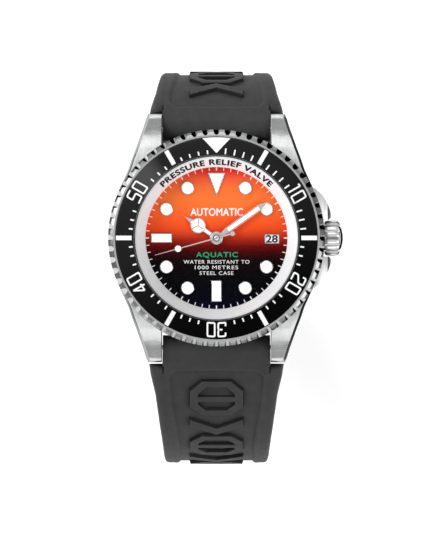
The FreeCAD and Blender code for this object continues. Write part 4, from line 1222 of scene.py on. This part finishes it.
def strap_columns(s, half):
    """Values of x across a row. At the neck two side columns straddle the shoulder step;
    they ease back to even spacing over the first millimetres."""
    middle = MIDDLE if half > 8 else half * MIDDLE / 8
    even = [middle + (half - middle) * q for q in np.linspace(0, 1, SIDE_COLUMNS + 1)[1:]]
    outside = SIDE_COLUMNS - NECK_COLUMNS
    stepped = [MIDDLE + (STEP_IN - MIDDLE) * (i + 1) / NECK_COLUMNS for i in range(NECK_COLUMNS)]
    stepped += [STEP_OUT + (half - STEP_OUT) * i / (outside - 1) for i in range(outside)]
    ease = smooth_step((s - 1.2) / 2.0)
    side = [a * (1 - ease) + b * ease for a, b in zip(stepped, even)]
    inner = [x * middle / MIDDLE for x in np.linspace(-MIDDLE, MIDDLE, INNER_COLUMNS)]
    return [-x for x in side[::-1]] + inner + side


def strap_surface(strap, motifs):
    """Points, faces and each point's motif height."""
    points, raised_at = [], []
    stations = strap_stations(strap)
    for s in stations:
        half, thin = strap_section(strap, s)
        round_top = 0.95 + 1.3 * (1 - smooth_step(s / 16.0))
        columns = strap_columns(s, half)
        for x in columns:
            raised = motif_height(x, s, motifs)
            raised_at.append(raised)
            height = relief(x, s, strap["panel_end"], raised) if s >= 0 else 0.0
            depth = rounding(x, half, round_top) * 0.92 - min(height, 0.35)
            points.append(neck_place(strap, x, s, depth + thin))
        for x in columns[::-1]:
            raised_at.append(0.0)
            depth = STRAP_T - rounding(x, half, ROUND_BOTTOM)
            points.append(neck_place(strap, x, s, max(depth - thin, depth * 0.5)))
    across = INNER_COLUMNS + 2 * SIDE_COLUMNS
    m = 2 * across
    faces = []
    for i in range(len(stations) - 1):
        for j in range(m):
            k = (j + 1) % m
            faces.append((i * m + j, i * m + k, (i + 1) * m + k, (i + 1) * m + j))
    # end caps join the outer and inner faces column by column
    for base in (0, (len(stations) - 1) * m):
        for j in range(across - 1):
            faces.append((base + j, base + j + 1, base + m - 2 - j, base + m - 1 - j))
    return points, faces, raised_at


def cut_holes(obj, holes):
    cutter = new_object(obj.name + "_cut", merge(*holes))
    modifier = obj.modifiers.new("holes", "BOOLEAN")
    modifier.operation = "DIFFERENCE"
    modifier.solver = "EXACT"
    modifier.object = cutter
    depsgraph = bpy.context.evaluated_depsgraph_get()
    mesh = bpy.data.meshes.new_from_object(obj.evaluated_get(depsgraph))
    obj.modifiers.clear()
    obj.data = mesh
    bpy.data.objects.remove(cutter)


def strap_band(name, strap, motifs, holes):
    points, faces, raised_at = strap_surface(strap, motifs)
    mesh = bpy.data.meshes.new(name)
    mesh.from_pydata([tuple(c * MM for c in p) for p in points], [], faces)
    mesh.materials.append(MAT["strap_rubber"])
    mesh.materials.append(MAT["strap_wall"])
    # painted shade: the steep sides of the blocks take a darker copy of the rubber
    climbs = [max(raised_at[i] for i in f) - min(raised_at[i] for i in f) for f in faces]
    mesh.polygons.foreach_set("material_index", [int(climb > 0.3) for climb in climbs])
    obj = bpy.data.objects.new(name, mesh)
    bpy.context.scene.collection.objects.link(obj)
    bm = bmesh.new()
    bm.from_mesh(mesh)
    bmesh.ops.remove_doubles(bm, verts=bm.verts, dist=2e-7)
    bmesh.ops.dissolve_degenerate(bm, dist=2e-7, edges=bm.edges)
    bmesh.ops.recalc_face_normals(bm, faces=bm.faces)
    bm.to_mesh(mesh)
    bm.free()
    cut_holes(obj, holes)
    set_creases(obj, 38.0)
    return obj


def bar_hole(y, z, steps=32):
    """Hole along X for a bar."""
    turns = [2 * math.pi * i / steps for i in range(steps)]
    return tube(*[[(x, y + BAR_HOLE_R * math.cos(a), z + BAR_HOLE_R * math.sin(a))
                   for a in turns] for x in (-16, 16)])


def size_hole(strap, s, radius=1.2, steps=36):
    """Hole square through the strap, for the buckle's tang."""
    _, _, angle = strap_path(strap, s)
    centre = Vector(strap_place(strap, 0, s, 0))
    normal = Vector((0, strap["side"] * math.sin(angle), math.cos(angle)))
    across = Vector((1, 0, 0))
    along = normal.cross(across)
    turns = [2 * math.pi * i / steps for i in range(steps)]
    return tube(*[[tuple(centre + normal * reach
                         + (across * math.cos(a) + along * math.sin(a)) * radius)
                   for a in turns] for reach in (3.0, -6.0)])


# frame of the buckle bar, at mid-depth in the end of the 12 o'clock strap:
# u runs on along the strap, w out of its outer face
_, _, end_angle = strap_path(STRAP_12, STRAP_12["length"])
END = Vector(strap_place(STRAP_12, 0, STRAP_12["length"], WRAP_R))
END_U = Vector((0, math.cos(end_angle), -math.sin(end_angle)))
END_W = Vector((0, math.sin(end_angle), math.cos(end_angle)))


def at_end(x, u, w):
    p = END + END_U * u + END_W * w
    return x, p.y, p.z


def tang_slot():
    points = [at_end(x, u, w) for x in (-1.7, 1.7) for u in (-3.2, 5) for w in (-5, 5)]
    return points, [(0, 1, 3, 2), (4, 6, 7, 5), (0, 4, 5, 1), (2, 3, 7, 6), (0, 2, 6, 4),
                    (1, 5, 7, 3)]


LINK, ARROW = ("link", 9.4), ("arrow", 5.6)
band_6 = strap_band(
    "strap_band_6", STRAP_6, motif_layout(3.1, 46.0, [LINK, ARROW]),
    [bar_hole(-BAR_Y, BAR_Z)] + [size_hole(STRAP_6, 62.0 + 6.5 * k) for k in range(7)])
band_12 = strap_band(
    "strap_band_12", STRAP_12, motif_layout(4.2, 40.0, [ARROW, LINK]),
    [bar_hole(BAR_Y, BAR_Z), bar_hole(END.y, END.z), tang_slot()])
for band, node in ((band_6, "strap_6"), (band_12, "strap_12")):
    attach(band, node)
    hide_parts(node)


def keeper_loop():
    """Rounded band round the strap, with a softly rounded section."""
    outer = rounded_rect(-11.8, 11.8, -3.1, 7.0, radius=2.2, steps=8)
    inner = rounded_rect(-10.75, 10.75, -2.0, 5.9, radius=1.0, steps=8)
    section = []
    for i in range(24):
        cos, sin = math.cos(2 * math.pi * i / 24), math.sin(2 * math.pi * i / 24)
        section.append((math.copysign(abs(cos) ** 0.35, cos), math.copysign(abs(sin) ** 0.6, sin)))
    points, faces = [], []
    for (outer_x, outer_w), (inner_x, inner_w) in zip(outer, inner):
        for along, through in section:
            t = (through + 1) / 2
            points.append(at_end(inner_x + (outer_x - inner_x) * t, -10.5 + 2.5 * along,
                                 inner_w + (outer_w - inner_w) * t))
    n, m = len(outer), len(section)
    for i in range(n):
        a, b = i * m, (i + 1) % n * m
        for j in range(m):
            k = (j + 1) % m
            faces.append((a + j, a + k, b + k, b + j))
    return points, faces


add("keeper_loop", keeper_loop(), "strap_rubber", "keeper", "strap_rubber", crease=40,
    replaces=("keeper",))

# ------------------------------------------------------------------ floor and camera
FLOOR_Z, FLOOR_HALF = -97, 3000
floor_corners = [(x, y, FLOOR_Z) for x, y in rect(-FLOOR_HALF, FLOOR_HALF,
                                                  -FLOOR_HALF, FLOOR_HALF)]
floor = new_object("floor", (floor_corners, [(0, 1, 2, 3)]), floor_pale("floor_pale"))

scene = bpy.context.scene
lens = bpy.data.cameras.new("camera")
lens.lens = 496.0
lens.sensor_width = 36.0
lens.clip_start = 0.05
lens.clip_end = 20.0
camera = bpy.data.objects.new("camera", lens)
scene.collection.objects.link(camera)
camera.location = (-0.3 * MM, -6.2 * MM, 1.514)  # straight above, looking down
scene.camera = camera

# ------------------------------------------------------------------ world and lights
# brightness of the surroundings along each axis, from -1 (position 0) to +1 (position 1)
SKY_Y = [(0.0, 0.85), (0.25, 1.0), (0.5, 1.0), (0.8, 1.0), (1.0, 0.8)]
SKY_X = [(0.0, 0.25), (0.08, 0.4), (0.2, 1.0), (0.3, 0.85), (0.5, 1.0), (0.7, 0.8), (0.8, 1.0),
         (0.92, 0.35), (1.0, 0.15)]
SKY_Z = [(0.0, 0.45), (0.49, 0.6), (0.54, 0.8), (0.64, 1.0), (1.0, 1.0)]

scene.world = bpy.data.worlds.new("studio")
sky = NodeTree(scene.world, "OutputWorld")
direction = sky.split(sky.node("TexCoord").outputs["Generated"])
bands_y, bands_x, bands_z = (
    sky.ramp(sky.remap(direction[letter], -1, 1), stops)
    for letter, stops in (("Y", SKY_Y), ("X", SKY_X), ("Z", SKY_Z)))
brightness = sky.mix(sky.mix(bands_y, bands_x), bands_z)
background = sky.node("Background", {"Color": brightness, "Strength": 0.55})
sky.finish(background.outputs["Background"])

# square lights aimed at the origin: name, place, size, power
LIGHTS = [
    ("key", (-0.75, 0.30, 0.62), 0.5, 5.5),
    ("fill", (0.8, -0.35, 0.6), 0.6, 4.2),
    ("front", (0.05, -0.75, 0.8), 0.6, 1.7),
    ("back", (-0.05, 0.8, 0.75), 0.6, 2.0)]
for name, place, size, power in LIGHTS:
    light = bpy.data.lights.new(name, "AREA")
    light.energy = power
    light.size = size
    lamp = bpy.data.objects.new(name, light)
    scene.collection.objects.link(lamp)
    lamp.location = place
    lamp.rotation_euler = (-Vector(place)).to_track_quat("-Z", "Y").to_euler()

scene.view_settings.view_transform = "Standard"
scene.view_settings.look = "None"
scene.view_settings.exposure = 0.0
